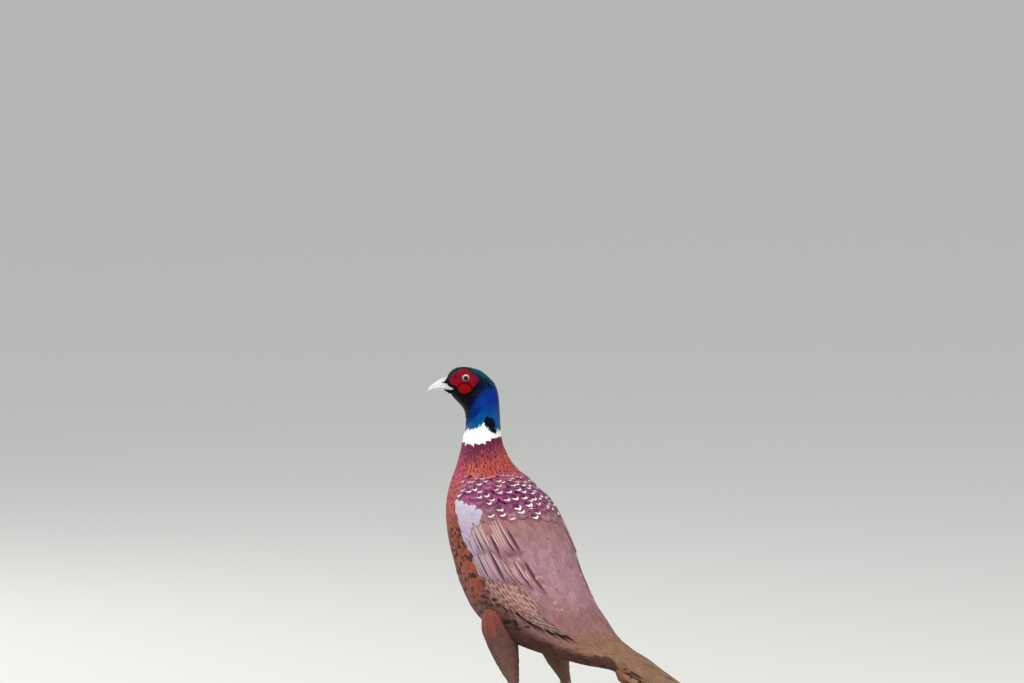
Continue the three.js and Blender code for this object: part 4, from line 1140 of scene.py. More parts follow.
def tail_piece():
    random = np.random.default_rng(23)
    finish = feather_finish("barred_tail_feather", tail_bars, 0.5, 0.0, 0.8)
    rows = np.concatenate([np.linspace(0, 0.9, 22), [0.935, 0.965, 0.985, 1]])
    parts, faces, charts, roots, tones = [], [], [], [], []
    base = 0
    for side in (1, -1):
        for i, full in enumerate(TAIL_LENGTHS):
            length = full * random.uniform(0.985, 1.0)
            distance = rows * length
            blunt = 0.2 if i else 0.0
            shape = smooth(distance, -70, 35) * (1 - (0.55 - blunt) * rows) * (1 - smooth(rows, 0.8, 1.04))
            if i:
                middle = 0.8 + TAIL_HALF * shape + distance * math.sin(math.radians(0.5 + 0.75 * i))
                level = -TAIL_STEP * (i - 1)
            else:
                middle = -8 + TAIL_HALF * shape + distance * math.sin(math.radians(0.9))
                level = 2.8 if side > 0 else 1.5
            path = distance[None], side * middle[None]
            rise = np.full((1, len(rows)), level)
            half = np.array([TAIL_HALF])
            seed = 500 + i + (side > 0) * 20
            made = vanes(roof, path, rows, shape, half, rise, 11, 0.6, 0.04, 0.004, ragged=0.9, seed=seed)
            parts.append(made[0])
            faces.append(made[1] + base)
            charts.append(made[2])
            base += made[0].shape[1]
            roots.append((0.5 + side * (0.03 + 0.02 * i), 0.975))
            outer = i / (len(TAIL_LENGTHS) - 1)
            tones.append(mix(TAIL_BUFF, TAIL_RUFOUS, outer) * random.uniform(0.94, 1.06))
    made = np.concatenate(parts), np.concatenate(faces), np.concatenate(charts)
    piece = feather_piece("tail_feathers", made, np.array(roots), np.array(tones), finish)
    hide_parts("tail")


def tail_coverts():
    random = np.random.default_rng(29)
    rows, shape = LOOSE
    length, turn, lift = np.array([(n, side * t, r) for n, t, r in TAIL_COVERTS for side in (1, -1)]).T
    count = len(length)
    turn = np.radians(turn + random.uniform(-0.6, 0.6, count))
    distance = rows[None] * (length[:, None] + COVERT_START) - COVERT_START
    path = distance, (distance + COVERT_MEET) * np.sin(turn)[:, None]
    rise = lift[:, None] - 2.0 * rows[None] ** 2 + random.uniform(-0.2, 0.2, (count, 1))
    half = random.uniform(8.5, 10.5, count)
    made = vanes(roof, path, rows, shape, half, rise, 11, 0.4, 0.06, 0.05, ragged=0.8, seed=31)
    tone = mix(TAIL_COVERT, COVERT_BUFF, random.uniform(0, 1, (count, 1)))
    tone = tone * random.uniform(0.9, 1.1, (count, 1))
    tone = np.concatenate([tone, np.full((count, 1), 0.3)], 1)
    roots = np.stack([0.5 + 0.03 * random.uniform(-1, 1, count), np.full(count, 0.96)], -1)
    finish = feather_finish("tail_covert_feather", pale_streaks, 0.6, 0.0, 0.85)
    piece = feather_piece("tail_coverts", made, roots, tone, finish)


tail_piece()
tail_coverts()


# HEAD
# Bare red skin swells round each eye in two lobes, thick with small papillae, and the lids are its raised
# rim. The eye is a wet ball with a pale iris.
def head_point(forward, left, up):
    """A place in the head's own frame, turned with the head."""
    forward, left, up = np.broadcast_arrays(forward, left, up)
    cos, sin = math.cos(HEAD_TURN), math.sin(HEAD_TURN)
    return np.stack([forward * cos - left * sin, forward * sin + left * cos, up], -1)


def head_place(forward, up, low=0.2, high=9.0):
    """The station and angle of the left side of the head at a place in its mid plane."""
    forward, up = np.broadcast_arrays(np.asarray(forward, float), np.asarray(up, float))

    def ends(s):
        return [spline(STATIONS[:, k], s) for k in range(4)]

    def side(s):
        back_x, back_z, front_x, front_z = ends(s)
        return (back_x - front_x) * (up - front_z) - (back_z - front_z) * (forward - front_x)

    a, b = np.full(forward.shape, low), np.full(forward.shape, high)
    start = np.sign(side(a))
    for _ in range(30):
        middle = (a + b) / 2
        same = np.sign(side(middle)) == start
        a, b = np.where(same, middle, a), np.where(same, b, middle)
    back_x, back_z, front_x, front_z = ends(a)
    span_x, span_z = back_x - front_x, back_z - front_z
    share = ((forward - front_x) * span_x + (up - front_z) * span_z) / (span_x**2 + span_z**2)
    return a, np.arccos(np.clip(2 * share - 1, -1, 1))


EYE_RADIUS = 5.4
EYE_STANDS_OUT = 1.9
LID_OPENING = 4.6
eye_half = float(out_to_left(*head_place(*EYE_AT, 0.5, 8)))


def bare_finish(name, texture, inputs, pattern, shades, relief, sockets):
    """Skin or horn with the colour of its Tone attribute, which a fine pattern shades and raises. Cells are
    raised as they are shaded."""
    material, tree, shader = new_material(name, sockets)
    tone = add(tree, "ShaderNodeAttribute", attribute_name="Tone")
    place = add(tree, "ShaderNodeTexCoord")
    pattern = add(tree, texture, {"Vector": place.outputs["Object"], **inputs}).outputs[pattern]
    shade = add(tree, "ShaderNodeMapRange", {0: pattern, **dict(enumerate(shades, 1))}).outputs[0]
    give_colour_to(tree, shader, tone.outputs["Color"], shade)
    height = shade if texture == "ShaderNodeTexVoronoi" else pattern
    bump = add(tree, "ShaderNodeBump", {"Strength": relief[0], "Distance": relief[1], "Height": height})
    tree.links.new(bump.outputs[0], shader.inputs["Normal"])
    return material


def wattle_skin():
    # Bare skin thick with blood, covered with fine papillae: saturated crimson, with a soft gloss
    sockets = {"Roughness": 0.5, "Specular IOR Level": 0.05}
    pits = "ShaderNodeTexVoronoi", {"Scale": 1300.0}, "Distance"
    return bare_finish("papillate_red_skin", *pits, (0.1, 0.7, 1.0, 0.62), (0.6, 0.0004), sockets)


def papillae(u, w, cell):
    """Small rounded bumps, one in each cell of a jittered grid: 1 at the middle of each, down to 0."""
    nearest = np.full(u.shape, 9.0)
    i0, j0 = np.floor(u / cell), np.floor(w / cell)
    for di in (-1, 0, 1):
        for dj in (-1, 0, 1):
            i, j = i0 + di, j0 + dj
            jitter_u = np.sin(i * 127.1 + j * 311.7) * 43758.5453 % 1
            jitter_w = np.sin(i * 269.5 + j * 183.3) * 43758.5453 % 1
            gap = np.hypot(u / cell - i - jitter_u, w / cell - j - jitter_w)
            nearest = np.minimum(nearest, gap)
    return np.clip(1 - nearest**2 * 1.6, 0, 1)


LOWER_LOBE_AT = (1.2, -13.0)
LOWER_LOBE = (9.0, 6.6)


def wattle(name, side, material):
    spokes, steps = 216, 58
    angle = np.linspace(0, 360, spokes, endpoint=False)[None, :]
    share = np.linspace(0, 1, steps)[:, None]
    reach = on_line(WATTLE_OUTLINE, angle)
    kernel = np.exp(-(np.linspace(-2, 2, 9) ** 2))
    wrapped = np.concatenate([reach[0, -4:], reach[0], reach[0, :4]])
    reach = np.convolve(wrapped, kernel / kernel.sum(), mode="valid")[None]
    reach = reach + 0.35 * np.sin(np.radians(angle * 23)) * np.sin(np.radians(angle * 7 + 40))
    distance = mix(LID_OPENING, reach, share**0.9)
    u, w = distance * np.cos(np.radians(angle)), distance * np.sin(np.radians(angle))
    q = np.hypot((u - LOWER_LOBE_AT[0]) / LOWER_LOBE[0], (w - LOWER_LOBE_AT[1]) / LOWER_LOBE[1])
    lower = 3.2 * np.sqrt(np.clip(1 - q**2, 0, 1))
    upper = 1.35 * np.sqrt(np.clip(1 - share**4, 0, 1)) * smooth(w, -7.5, -4.5)
    crease = np.exp(-(((q - 1.02) / 0.1) ** 2)) * smooth(w, -17, -12)
    rim = np.exp(-(((distance - 5.7) / 0.75) ** 2))
    folds = 0.16 * np.sin(distance * 2.6 + 0.8 * np.sin(np.radians(angle * 3))) * smooth(distance, 6.5, 9)
    bumps = papillae(u + 50, w + 50, 1.05) * 0.34 * smooth(distance, 6.2, 7.5)
    height = 0.45 + np.maximum(lower, upper) + folds + bumps - 0.9 * crease + 1.0 * rim
    height = height - 1.6 * (1 - smooth(distance, LID_OPENING, LID_OPENING + 0.6))
    height = height * (1 - smooth(share, 0.97, 1.0)) + 0.3 * smooth(share, 0.97, 1.0)
    s, theta = head_place(EYE_AT[0] + u, EYE_AT[1] + w)
    over = raised(body, s, side * theta, height)
    under = raised(body, s, side * theta, np.full(s.shape, -1.2))[[-1, 0]]
    rings = np.concatenate([over, under])
    faces = grid_faces(len(rings), spokes, wrap=True, ring=True, flip=side < 0)
    piece = make_object("wattle_" + name, rings.reshape(-1, 3), [faces], material)
    rough = 0.5 + 0.5 * np.sin(u * 1.9 + 3 * np.sin(w * 1.3)) * np.sin(w * 2.3 + u)
    front = smooth(u, 3, 12) * smooth(w, -6, 0)
    outside = smooth(q, 0.98, 1.06)
    specks = papillae(u + 90, w + 70, 1.9) ** 6
    tone = linear("#B4041E")
    for code, mask in (
        ("#9C0003", q < 1.0),
        # Painted shade: the lower lobe darker towards its edge, where its swell turns away from the light
        ("#5A000A", smooth(q, 0.6, 1.0) * (q < 1.0) * 0.6),
        ("#74062C", front * (0.55 + 0.35 * rough)),
        ("#5E0A38", smooth(-u, 7, 12) * outside * 0.85),
        ("#0C0408", specks * (0.2 + 0.7 * front) * outside),
        # Painted shadow in the crease between the upper and the lower lobe
        ("#24030C", crease * 0.9),
        ("#4A0A18", np.exp(-(((distance - 7.4) / 0.8) ** 2)) * 0.6),
        ("#7A2A2C", np.exp(-(((distance - 5.7) / 0.6) ** 2)) * 0.6),
        # Painted shade where the lid's inner edge dips against the eye
        ("#14060A", 1 - smooth(distance, 4.65, 5.05)),
    ):
        tone = mix(tone, linear(code), mask[..., None])
    give_colour(piece.data, "Tone", np.concatenate([tone, tone[[-1, 0]]]).reshape(-1, 3))
    flat = np.stack([0.5 + u / 50, 0.5 + w / 50], -1)
    give_uv(piece.data, "OFBake", np.concatenate([flat, flat[[-1, 0]]]).reshape(-1, 2))
    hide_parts("wattle_" + name)


def eyeball_finish():
    # A wet cornea over a pale iris with fine spokes and a black pupil, and a dark rim that is painted shade
    # where the ball goes under the lids
    sockets = {
        "Roughness": 0.12,
        "IOR": 1.376,
        "Specular IOR Level": 0.2,
        "Coat Weight": 0.4,
        "Coat Roughness": 0.02,
    }
    material, tree, shader = new_material("wet_eye", sockets)
    place = add(tree, "ShaderNodeUVMap", uv_map="Eye")
    parts = add(tree, "ShaderNodeSeparateXYZ", {0: place.outputs[0]})
    spokes = add(tree, "ShaderNodeTexNoise", {"Vector": place.outputs[0], "Scale": 60.0, "Detail": 2.0})
    ramp = add(tree, "ShaderNodeValToRGB", {0: parts.outputs[0]})
    # Distance from the pupil's middle in mm, and the colour there
    stops = [(0.0, "#030303"), (2.25, "#030303"), (2.55, "#4A2A20"), (3.0, "#A87A66"), (3.4, "#E6CDBA")]
    # The last stop is painted shade: the ball darkens where it goes under the lids
    stops = stops + [(4.2, "#F0DCCB"), (4.6, "#B08070"), (4.9, "#2A1412")]
    ramp.color_ramp.elements.remove(ramp.color_ramp.elements[1])
    for i, (reach, code) in enumerate(stops):
        element = ramp.color_ramp.elements.new(reach / 10) if i else ramp.color_ramp.elements[0]
        element.position = reach / 10
        element.color = rgba(code)
    shade = add(tree, "ShaderNodeMapRange", {0: spokes.outputs["Fac"], 1: 0.3, 2: 0.7, 3: 0.78, 4: 1.05})
    give_colour_to(tree, shader, ramp.outputs[0], shade.outputs[0])
    return material


def eye(name, side, material):
    rings, sides = 64, 72
    tilt = np.linspace(0, math.pi, rings)[1:-1, None]
    around = np.linspace(0, 2 * math.pi, sides, endpoint=False)[None, :]
    radius = EYE_RADIUS * (1 + 0.05 * (1 - smooth(tilt, 0.2, 0.8)))
    out = radius * np.cos(tilt) + 0 * around
    ahead, up = radius * np.sin(tilt) * np.cos(around), radius * np.sin(tilt) * np.sin(around)
    depth = eye_half - EYE_RADIUS + EYE_STANDS_OUT
    points = head_point(EYE_AT[0] + ahead, side * (depth + out), EYE_AT[1] + up)
    poles = head_point(EYE_AT[0], side * (depth + np.array([EYE_RADIUS * 1.05, -EYE_RADIUS])), EYE_AT[1])
    vertices, faces = tube_with_ends(points)
    vertices[-2:] = poles
    faces = [f if side < 0 else f[:, ::-1] for f in faces]
    piece = make_object("eyeball_" + name, vertices, faces, material)
    reach = EYE_RADIUS * np.where(tilt < math.pi / 2, np.sin(tilt), 1.5) / 10 + 0 * around
    map_points = np.stack([reach, around / (2 * math.pi) + 0 * tilt], -1).reshape(-1, 2)
    give_uv(piece.data, "Eye", np.concatenate([map_points, [[0, 0.5]], [[0.8, 0.5]]]))
    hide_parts("eye_" + name)


SIDES = (("left", 1), ("right", -1))
red_skin = wattle_skin()
wet_eye = eyeball_finish()
for side_name, side_sign in SIDES:
    wattle(side_name, side_sign, red_skin)
    eye(side_name, side_sign, wet_eye)


# BILL
# Two halves of pale horn, the upper one longer and hooked over the lower, with a nostril under a soft flap.
BILL_ROOT = 34
MOUTH = np.array([[34, 437.6], [40, 437.8], [48, 438.2], [56, 438.3], [62, 437.8], [66, 436.8], [70, 434.4]])
CULMEN = np.array([
    [34, 455.6], [45.5, 452.8], [52.6, 450.2], [60.6, 445.4], [66.2, 441.2], [68.6, 438.6], [70, 435.2],
])
KEEL = np.array([[34, 432.0], [44, 433.2], [50, 434.4], [58, 434.9], [63, 435.2], [65.6, 436.0]])
# Each half's tip, half its width at the root, and the power of its taper
UPPER_BILL = (70, 7.0, 1.6)
LOWER_BILL = (65.6, 6.0, 1.8)
HORN_GREY = linear("#C2BFC0")
HORN_PALE = linear("#DEDDDD")
NOSTRIL_SHADOW = linear("#2B211D")
NOSTRIL_FLAP = linear("#BFB1A2")
GAPE_PALE = linear("#DAD6D0")
GAPE_DULL = linear("#B7ADA4")
NOSTRIL = (50.4, 445.3)


def eased(line, x):
    """A height along a line of points, with its corners rounded."""
    spread = np.linspace(-2.4, 2.4, 9)
    weight = np.exp(-(spread**2) / 3)
    near = np.clip(x[..., None] + spread * np.minimum(1, (line[-1, 0] - x[..., None]) / 3), line[0, 0], None)
    return (np.interp(near, line[:, 0], line[:, 1]) * weight).sum(-1) / weight.sum()


def horn(name):
    # Pale cream keratin with faint growth lines: a soft shine, and a little light passes through the edges
    sockets = {
        "Roughness": 0.38,
        "Specular IOR Level": 0.4,
        "Subsurface Weight": 0.1,
        "Subsurface Radius": (0.002, 0.0014, 0.001),
    }
    grain = "ShaderNodeTexNoise", {"Scale": 420.0, "Detail": 4.0}, "Fac"
    return bare_finish(name, *grain, (0.35, 0.65, 0.86, 1.04), (0.25, 0.0002), sockets)


def bill_half_width(x, tip, width, power):
    return width * np.sqrt(np.clip(1 - ((x - BILL_ROOT) / (tip + 0.5 - BILL_ROOT)) ** power, 0.004, 1))


def bill_half(name, line, gap, size, material):
    """One half of the bill, from its outer line to the mouth's line, which it misses by the gap."""
    upper = name == "upper"
    rows, sides = 72, 40
    x = mix(BILL_ROOT, size[0], 1 - (1 - np.linspace(0, 0.999, rows)) ** 1.5)[:, None]
    half = bill_half_width(x, *size)
    a = np.linspace(0, math.pi, sides)[None, :]
    y = half * np.sign(np.cos(a)) * np.abs(np.cos(a)) ** 0.92
    mouth = eased(MOUTH, x) - gap
    z = mix(mouth, eased(line, x), np.sin(a) ** 0.9)
    closing = np.linspace(1, -1, 12)[None, 1:-1]
    y = np.concatenate([y, -half * closing], 1)
    z = np.concatenate([z, mouth + 0.5 * (1 if upper else -1) * (1 - closing**2) + 0 * half], 1)
    x = np.broadcast_to(x, y.shape)
    tone = mix(HORN_GREY, HORN_PALE, smooth(x, 42, 56)[..., None])
    if upper:
        dx, dz = x - NOSTRIL[0], z - NOSTRIL[1]
        hole = np.exp(-(((dx + 0.35 * dz) / 2.3) ** 2 + (dz / 0.85) ** 2))
        flap = np.exp(-((dx / 4.0) ** 2 + ((dz - 2.0) / 1.9) ** 2))
        y = y * (1 - 0.3 * hole / np.maximum(np.abs(y) / 5, 0.6) + 0.09 * flap)
        # Painted shade in the nostril's opening, which the mesh only dents
        tone = mix(tone, NOSTRIL_SHADOW, smooth(hole, 0.25, 0.75)[..., None])
        tone = mix(tone, NOSTRIL_FLAP, (0.4 * flap)[..., None])
    vertices, faces = tube_with_ends(head_point(x, y, z))
    piece = make_object("horn_" + name, vertices, faces, material)
    give_colour(piece.data, "Tone", with_ends(tone))
    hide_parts("bill_" + name)


def blades(starts, middles, tips, half, out):
    """Closed narrow vanes along bent lines in space, their faces turned along out."""
    rows = np.linspace(0, 1, 8)
    shape = np.array([0.5, 0.85, 1.0, 1.0, 0.9, 0.72, 0.45, 0.12])
    t = rows[None, :, None]
    line = (1 - t) ** 2 * starts[:, None] + 2 * t * (1 - t) * middles[:, None] + t**2 * tips[:, None]
    along = unit(np.gradient(line, axis=1))
    across = unit(np.cross(np.broadcast_to(out[:, None], line.shape), along))
    normal = np.cross(along, across)
    v = np.array([-1.0, 0.0, 1.0])
    points = line[:, :, None] + across[:, :, None] * (half[:, None, None] * shape[:, None] * v)[..., None]
    bow = (1 - v**2)[None, None, :, None] * 0.25
    upper = points + normal[:, :, None] * bow
    lower = points - normal[:, :, None] * bow
    return closed_sheets(upper, lower, rows, shape, flip=True)


def bill_side(x, z):
    """How far the upper bill's side stands out from its mid plane."""
    rise = np.clip((z - eased(MOUTH, x)) / (eased(CULMEN, x) - eased(MOUTH, x)), 0, 0.999) ** (1 / 0.9)
    return bill_half_width(x, *UPPER_BILL) * (1 - rise**2) ** 0.46


def lores(name, side, material):
    """Short black feathers in a wedge over the root of the bill, up to the nostril, and at the chin."""
    random = np.random.default_rng(97)
    count, chin = 150, 60
    share, part = random.uniform(0, 1, count) ** 0.7, random.uniform(0, 1, count)
    x = mix(50.6, 44.8, share)
    z = mix(445.6, mix(443.4, 453.4, part), share)
    tip_x, tip_z = x - 4.2, z + mix(-0.6, 0.8, part)
    x[:chin] = mix(49.6, 44, share[:chin])
    z[:chin] = mix(436.2, mix(432.4, 437.0, part[:chin]), share[:chin])
    tip_x[:chin], tip_z[:chin] = x[:chin] - 4.0, z[:chin] - mix(0.4, 2.0, part[:chin])
    starts = head_point(x, side * (bill_side(x, z) - 0.3), z)
    tips = head_point(tip_x, side * (bill_side(tip_x, tip_z) + random.uniform(0.7, 1.2, count)), tip_z)
    middles = mix(starts, tips, 0.5) + head_point(0, side * 0.5, 0)
    out = np.broadcast_to(head_point(0, side * 1.0, 0), starts.shape)
    made = blades(starts, middles, tips, random.uniform(0.5, 0.85, count), out)
    tone = np.broadcast_to(FACE_BLACK, (count, 3)) * random.uniform(0.8, 1.4, (count, 1))
    s, theta = head_place(x, z, 0.02)
    piece = feather_piece("lore_feathers_" + name, made, skin_chart(s, side * theta), tone, material)


def gape(name, side, material):
    """The soft pale flange of the mouth's corner, swelling back from the bill and ending in a round lobe."""
    rows, sides = 30, 18
    share = np.linspace(0, 1, rows)[:, None]
    x = mix(51.0, 37.6, share)
    foot = mix(437.2, 436.3, smooth(share, 0.1, 0.6)) + 1.2 * smooth(share, 0.8, 1.0)
    top = on_line(GAPE_TOP, x)
    fade = np.sqrt(np.clip(1 - np.clip((share - 0.72) / 0.29, 0, 1) ** 2, 0.002, 1))
    fade = fade * (0.08 + 0.92 * smooth(share, -0.05, 0.4))
    a = np.linspace(0, 2 * math.pi, sides, endpoint=False)[None, :]
    z = (top + foot) / 2 + (top - foot) / 2 * fade * np.cos(a)
    s, theta = head_place(x + 0 * a, z, 0.02)
    out = np.where(x < 46, out_to_left(s, theta), 0.0)
    swell = smooth(share, 0.05, 0.6)
    y = np.maximum(out, bill_side(x, z)) - 0.7 * (1 - swell) + (0.5 + 0.9 * swell) * fade * np.sin(a)
    vertices, faces = tube_with_ends(head_point(x + 0 * a, side * y, z))
    faces = [f[:, ::-1] if side > 0 else f for f in faces]
    piece = make_object("gape_" + name, vertices, faces, material)
    tone = np.broadcast_to(mix(GAPE_PALE, GAPE_DULL, share[..., None]), (rows, sides, 3))
    give_colour(piece.data, "Tone", with_ends(tone))


bill_horn = horn("pale_keratin_horn")
bill_half("upper", CULMEN, 0.25, UPPER_BILL, bill_horn)
bill_half("lower", KEEL, 0.45, LOWER_BILL, bill_horn)
face_finish = feather_finish("black_lore_feather", None, 0.5, 0.3, 0.9)
for side_name, side_sign in SIDES:
    gape(side_name, side_sign, bill_horn)
    lores(side_name, side_sign, face_finish)


# EAR TUFTS
# Small pointed horns of narrow glossy feathers behind each eye, lying back along the head.
TUFT_TEAL = linear("#063A4C")
TUFT_BLUE = linear("#08152E")


def ear_tuft(name, side, material):
    random = np.random.default_rng(61)
    count = 34
    k = random.uniform(0, 1, count)
    s, theta = head_place(1.5 - 4.8 * k, 454.6 - 6.6 * k)
    starts = raised(body, s, side * theta, np.full(count, -0.8))
    out = frame_at(body, s, side * theta)[2]
    at = 8.15 + 0.2 * k + random.uniform(-0.05, 0.05, count)
    turn = np.radians(27 + 9 * k + random.uniform(-0.8, 0.8, count))
    tips = raised(body, at, side * turn, 3.2 - 0.4 * k + random.uniform(-0.25, 0.25, count))
    middles = raised(body, (s + at) / 2, side * (theta + turn) / 2, 3.2 + random.uniform(-0.4, 0.4, count))
    tips = mix(middles, tips, random.uniform(0.6, 1.0, (count, 1)))
    made = blades(starts, middles, tips, random.uniform(0.9, 1.5, count), out)
    tone = mix(TUFT_TEAL, TUFT_BLUE, random.uniform(0, 1, (count, 1)))
    piece = feather_piece("ear_tuft_feathers_" + name, made, skin_chart(s, side * theta), tone, material)
    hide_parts("ear_tuft_" + name)


tuft_finish = feather_finish("glossy_tuft_feather", None, 0.35, 0.35, 0.8)
for side_name, side_sign in SIDES:
    ear_tuft(side_name, side_sign, tuft_finish)


# THIGHS, SHANKS AND FEET
# Feathered thighs over bare legs. The shank is covered in front by overlapping horn scutes and at its sides
# by small scales, with a spur behind. Three toes point forward and a short one back, all with claws.
def scaly_leg():
    # Dry horn scales, grey and slightly glossy, darker in the joints between them
    scales = "ShaderNodeTexVoronoi", {"Scale": 620.0}, "Distance"
    return bare_finish("horn_leg_scale", *scales, (0.35, 0.75, 1.0, 0.55), (0.5, 0.0004), {"Roughness": 0.45})


def limb(knots, deep, wide, rows, sides, across=(0, 1, 0), relief=None, floor=None):
    """A round limb along a line through its knots, with its bends rounded off. deep and wide give its half
    sizes along the line, and relief what stands up on it."""
    knots = np.asarray(knots, float)
    lengths = np.concatenate([[0], np.cumsum(np.linalg.norm(np.diff(knots, axis=0), axis=1))])
    u = np.linspace(0, 1, rows)
    fine = np.linspace(0, 1, 200)
    line = np.stack([np.interp(fine, lengths / lengths[-1], knots[:, k]) for k in range(3)], -1)
    round_off = 15
    kernel = np.exp(-(np.linspace(-2, 2, 2 * round_off + 1) ** 2))
    kernel = kernel / kernel.sum()
    before = 2 * line[0] - line[round_off:0:-1]
    beyond = 2 * line[-1] - line[-2 : -2 - round_off : -1]
    padded = np.concatenate([before, line, beyond])
    line = np.stack([np.convolve(padded[:, k], kernel, mode="valid") for k in range(3)], -1)
    centre = np.stack([np.interp(u, fine, line[:, k]) for k in range(3)], -1)
    along = unit(np.gradient(centre, axis=0))
    side = unit(np.asarray(across, float) - along * (along @ np.asarray(across, float))[:, None])
    ahead = np.cross(side, along)
    a = np.linspace(0, 2 * math.pi, sides, endpoint=False)
    extra = relief(u[:, None], a[None]) if relief else 0 * u[:, None] * a[None]
    reach_deep, reach_wide = (deep(u)[:, None] + extra), (wide(u)[:, None] + extra)
    points = centre[:, None] + ahead[:, None] * (reach_deep * np.cos(a))[..., None]
    points = points + side[:, None] * (reach_wide * np.sin(a))[..., None]
    if floor is not None:
        points[..., 2] = np.maximum(points[..., 2], floor)
    return points, extra


def bend(start, control, end):
    """Points along a smooth bend from start to end, drawn towards the control point."""
    t = np.linspace(0, 1, 12)[:, None]
    return (1 - t) ** 2 * np.asarray(start) + 2 * t * (1 - t) * np.asarray(control) + t**2 * np.asarray(end)


# The joints of the left leg, and each toe's turn from straight ahead in degrees, length and radius
HEEL = np.array([-125, 38, 82.0])
FOOT_AT = np.array([-97, 40, 9.0])
TOES = [("middle", 0, 52, 4.1), ("inner", -27, 36, 3.7), ("outer", 27, 38, 3.7), ("hind", 172, 15, 3.0)]
SCUTE = linear("#A39C92")
SCUTE_JOINT = linear("#4F4A45")
CLAW = linear("#3A322D")
SHANK_PLATE = 0.5
TOE_PLATE = 0.38


def scutes(count, height):
    """Overlapping plates down the front of a limb, as a saw-tooth relief that fades round its sides."""

    def relief(u, a):
        front = smooth(np.cos(a), -0.1, 0.55)
        return height * (1 - (u * count) % 1) * front

    return relief


def joined_tubes(tubes):
    """One mesh of several tubes with closed ends: points, faces and tones."""
    vertices, faces, tones = [], [], []
    base = 0
    for points, tone in tubes:
        v, f = tube_with_ends(points)
        vertices.append(v)
        faces.append([part + base for part in f])
        tones.append(np.concatenate([tone.reshape(-1, 3), tone[0, :1], tone[-1, :1]]))
        base += len(v)
    quads = np.concatenate([f[0] for f in faces])
    fans = np.concatenate([f[1] for f in faces])
    return np.concatenate(vertices), [quads, fans], np.concatenate(tones)


def toned(extra, height):
    """The plates' colour, darker in the joints between them."""
    plate_rise = np.where(extra > 0, smooth(extra, 0.0, height * 0.35), 0.75)
    return mix(SCUTE_JOINT, SCUTE, (0.35 + 0.65 * plate_rise)[..., None])


def claw_tube(line, root, tip, power, flat, across=(0, 1, 0)):
    """A tapered claw along its line, dark towards the point."""

    def deep(u):
        return mix(root, tip, u**power)

    points, _ = limb(line, deep, lambda u: deep(u) * flat, 40, 20, across, floor=0.0)
    return points, mix(SCUTE_JOINT, CLAW, np.linspace(0, 1, 40)[:, None, None]) + 0 * points


def toe_and_claw(toe, turn, reach, radius):
    """A toe from the ball of the foot, knuckled and plated above, and its claw, both resting on the floor."""
    hind = toe == "hind"
    turn = math.radians(turn)
    ahead = np.array([math.cos(turn), math.sin(turn), 0])
    side = (-math.sin(turn), math.cos(turn), 0)
    start = np.array([FOOT_AT[0] + 2, FOOT_AT[1], 0])
    low = radius * 0.86
    lift = 2.2 if hind else 0.0
    line = [
        start + (0, 0, FOOT_AT[2] - 1.5),
        start + ahead * reach * 0.25 + (0, 0, mix(FOOT_AT[2] - 2, low, 0.8) + lift),
        start + ahead * reach * 0.6 + (0, 0, low + lift),
        start + ahead * reach + (0, 0, low + lift - 0.3),
    ]
    joints, plates = (3, 16) if toe == "middle" else (2, 11)
    top_side = scutes(plates, TOE_PLATE)

    def thick(u):
        return radius * mix(1.08, 0.72, u) + 0.4 * np.cos(2 * math.pi * (u * joints + 0.15))

    points, extra = limb(
        line, thick, thick, 150, 26, side, relief=lambda u, a: top_side(u, a + math.pi), floor=0.0
    )
    end = line[-1]
    length = 8 if hind else 12
    tip = (end + ahead * length) * (1, 1, 0) + (0, 0, (1.6 if hind else 0.0) + 0.6)
    claw_line = bend(end - ahead * 2.5, end + ahead * length * 0.55 + (0, 0, 2.2), tip)
    return (points, toned(extra, TOE_PLATE)), claw_tube(claw_line, radius * 0.62, 0.28, 0.8, 0.82, side)


def leg_piece(name, tubes, material, mirror, slot, *nodes):
    vertices, faces, tones = joined_tubes(tubes)
    piece = make_object(name, vertices, faces, material, mirror)
    give_colour(piece.data, "Tone", tones)
    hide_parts(*nodes)


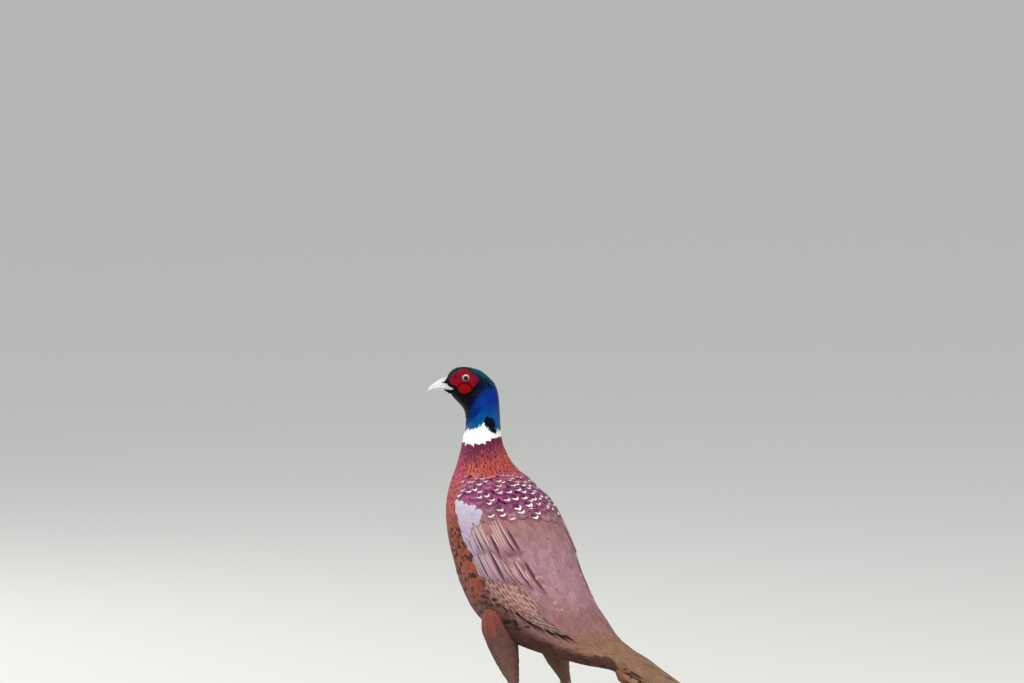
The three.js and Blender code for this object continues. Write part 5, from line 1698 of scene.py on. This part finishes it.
def leg(name, mirror, scale, claw_horn):
    def knuckle(u):
        return 1.7 * (1 - smooth(u, 0, 0.2)) + 1.4 * smooth(u, 0.82, 1)

    def pad(u):
        return np.sin(math.pi * mix(0.08, 0.92, u)) ** 0.6

    down = FOOT_AT - HEEL
    shank_line = [HEEL + (3, 0, 9), HEEL + (2, 0, -4), HEEL + down * 0.55, FOOT_AT + (-1, 0, 1)]
    plates = scutes(17, SHANK_PLATE)
    points, extra = limb(
        shank_line, lambda u: 4.1 + knuckle(u), lambda u: 3.3 + knuckle(u), 220, 36, relief=plates
    )
    shank = [(points, toned(extra, SHANK_PLATE))]
    leg_piece("shank_scutes_" + name, shank, scale, mirror, "leg_scale", "shank_" + name)
    ball_line = [FOOT_AT + (-7, 0, -2), FOOT_AT + (0, 0, -2.5), FOOT_AT + (8, 0, -3.5)]
    ball, extra = limb(ball_line, lambda u: 6.2 * pad(u), lambda u: 7.2 * pad(u), 30, 28, floor=0.0)
    toes, claws = zip(*[toe_and_claw(*toe) for toe in TOES])
    foot = [(ball, toned(extra, 0.3)), *toes]
    leg_piece("foot_scutes_" + name, foot, scale, mirror, "leg_scale", "foot_" + name)
    spur_at = HEEL + down * 0.62
    spur_line = bend(spur_at + (-1, -2, 0), spur_at + (-9, -3, 0), spur_at + (-14, -3.4, 5))
    spur = claw_tube(spur_line, 3.2, 0.25, 0.9, 1.0)
    nodes = ["spur_" + name, *["claw_" + toe[0] + "_" + name for toe in TOES]]
    leg_piece("claws_and_spur_" + name, [*claws, spur], claw_horn, mirror, "dark_claw", *nodes)


THIGH_DARK = linear("#4E2C22")
THIGH_BROWN = linear("#6E5240")


def thigh_feathers(name, mirror, material):
    random = np.random.default_rng(83)
    tries = 26000
    u, a = random.uniform(0.02, 1.0, tries), random.uniform(-math.pi, math.pi, tries)
    staying = spaced(thigh(u, a), mix(5.2, 3.0, u))
    u, a = u[staying], a[staying]
    count = len(u)
    rows, shape = LOOSE
    size = mix(1.0, 0.5, u) * random.uniform(0.85, 1.15, count)
    path = combed(thigh, u, a, 22 * size, np.radians(random.uniform(-8, 8, count)), rows)
    lift = lifted(rows)
    rise = -1.0 * (1 - lift) + random.uniform(0.8, 1.6, count)[:, None] * lift
    made = vanes(thigh, path, rows, shape, 5.0 * size, rise, 6, 0.25, 0.08, 0.16, seed=84)
    tone = mix(THIGH_DARK, THIGH_BROWN, u[:, None]) * random.uniform(0.85, 1.15, (count, 1))
    tone = mix(FLANK * 0.8, tone, smooth(u + random.normal(0, 0.05, count), 0.1, 0.35)[:, None])
    piece = feather_piece("thigh_feathers_" + name, made, thigh_chart(u, a), tone, material, mirror)


leg_scale = scaly_leg()
claw_horn = horn("dark_claw_horn")
thigh_finish = feather_finish("brown_thigh_feather", pale_streaks, 0.8, 0.0, 0.85)
for side_name, side_sign in SIDES:
    leg(side_name, side_sign < 0, leg_scale, claw_horn)
    thigh_feathers(side_name, side_sign < 0, thigh_finish)
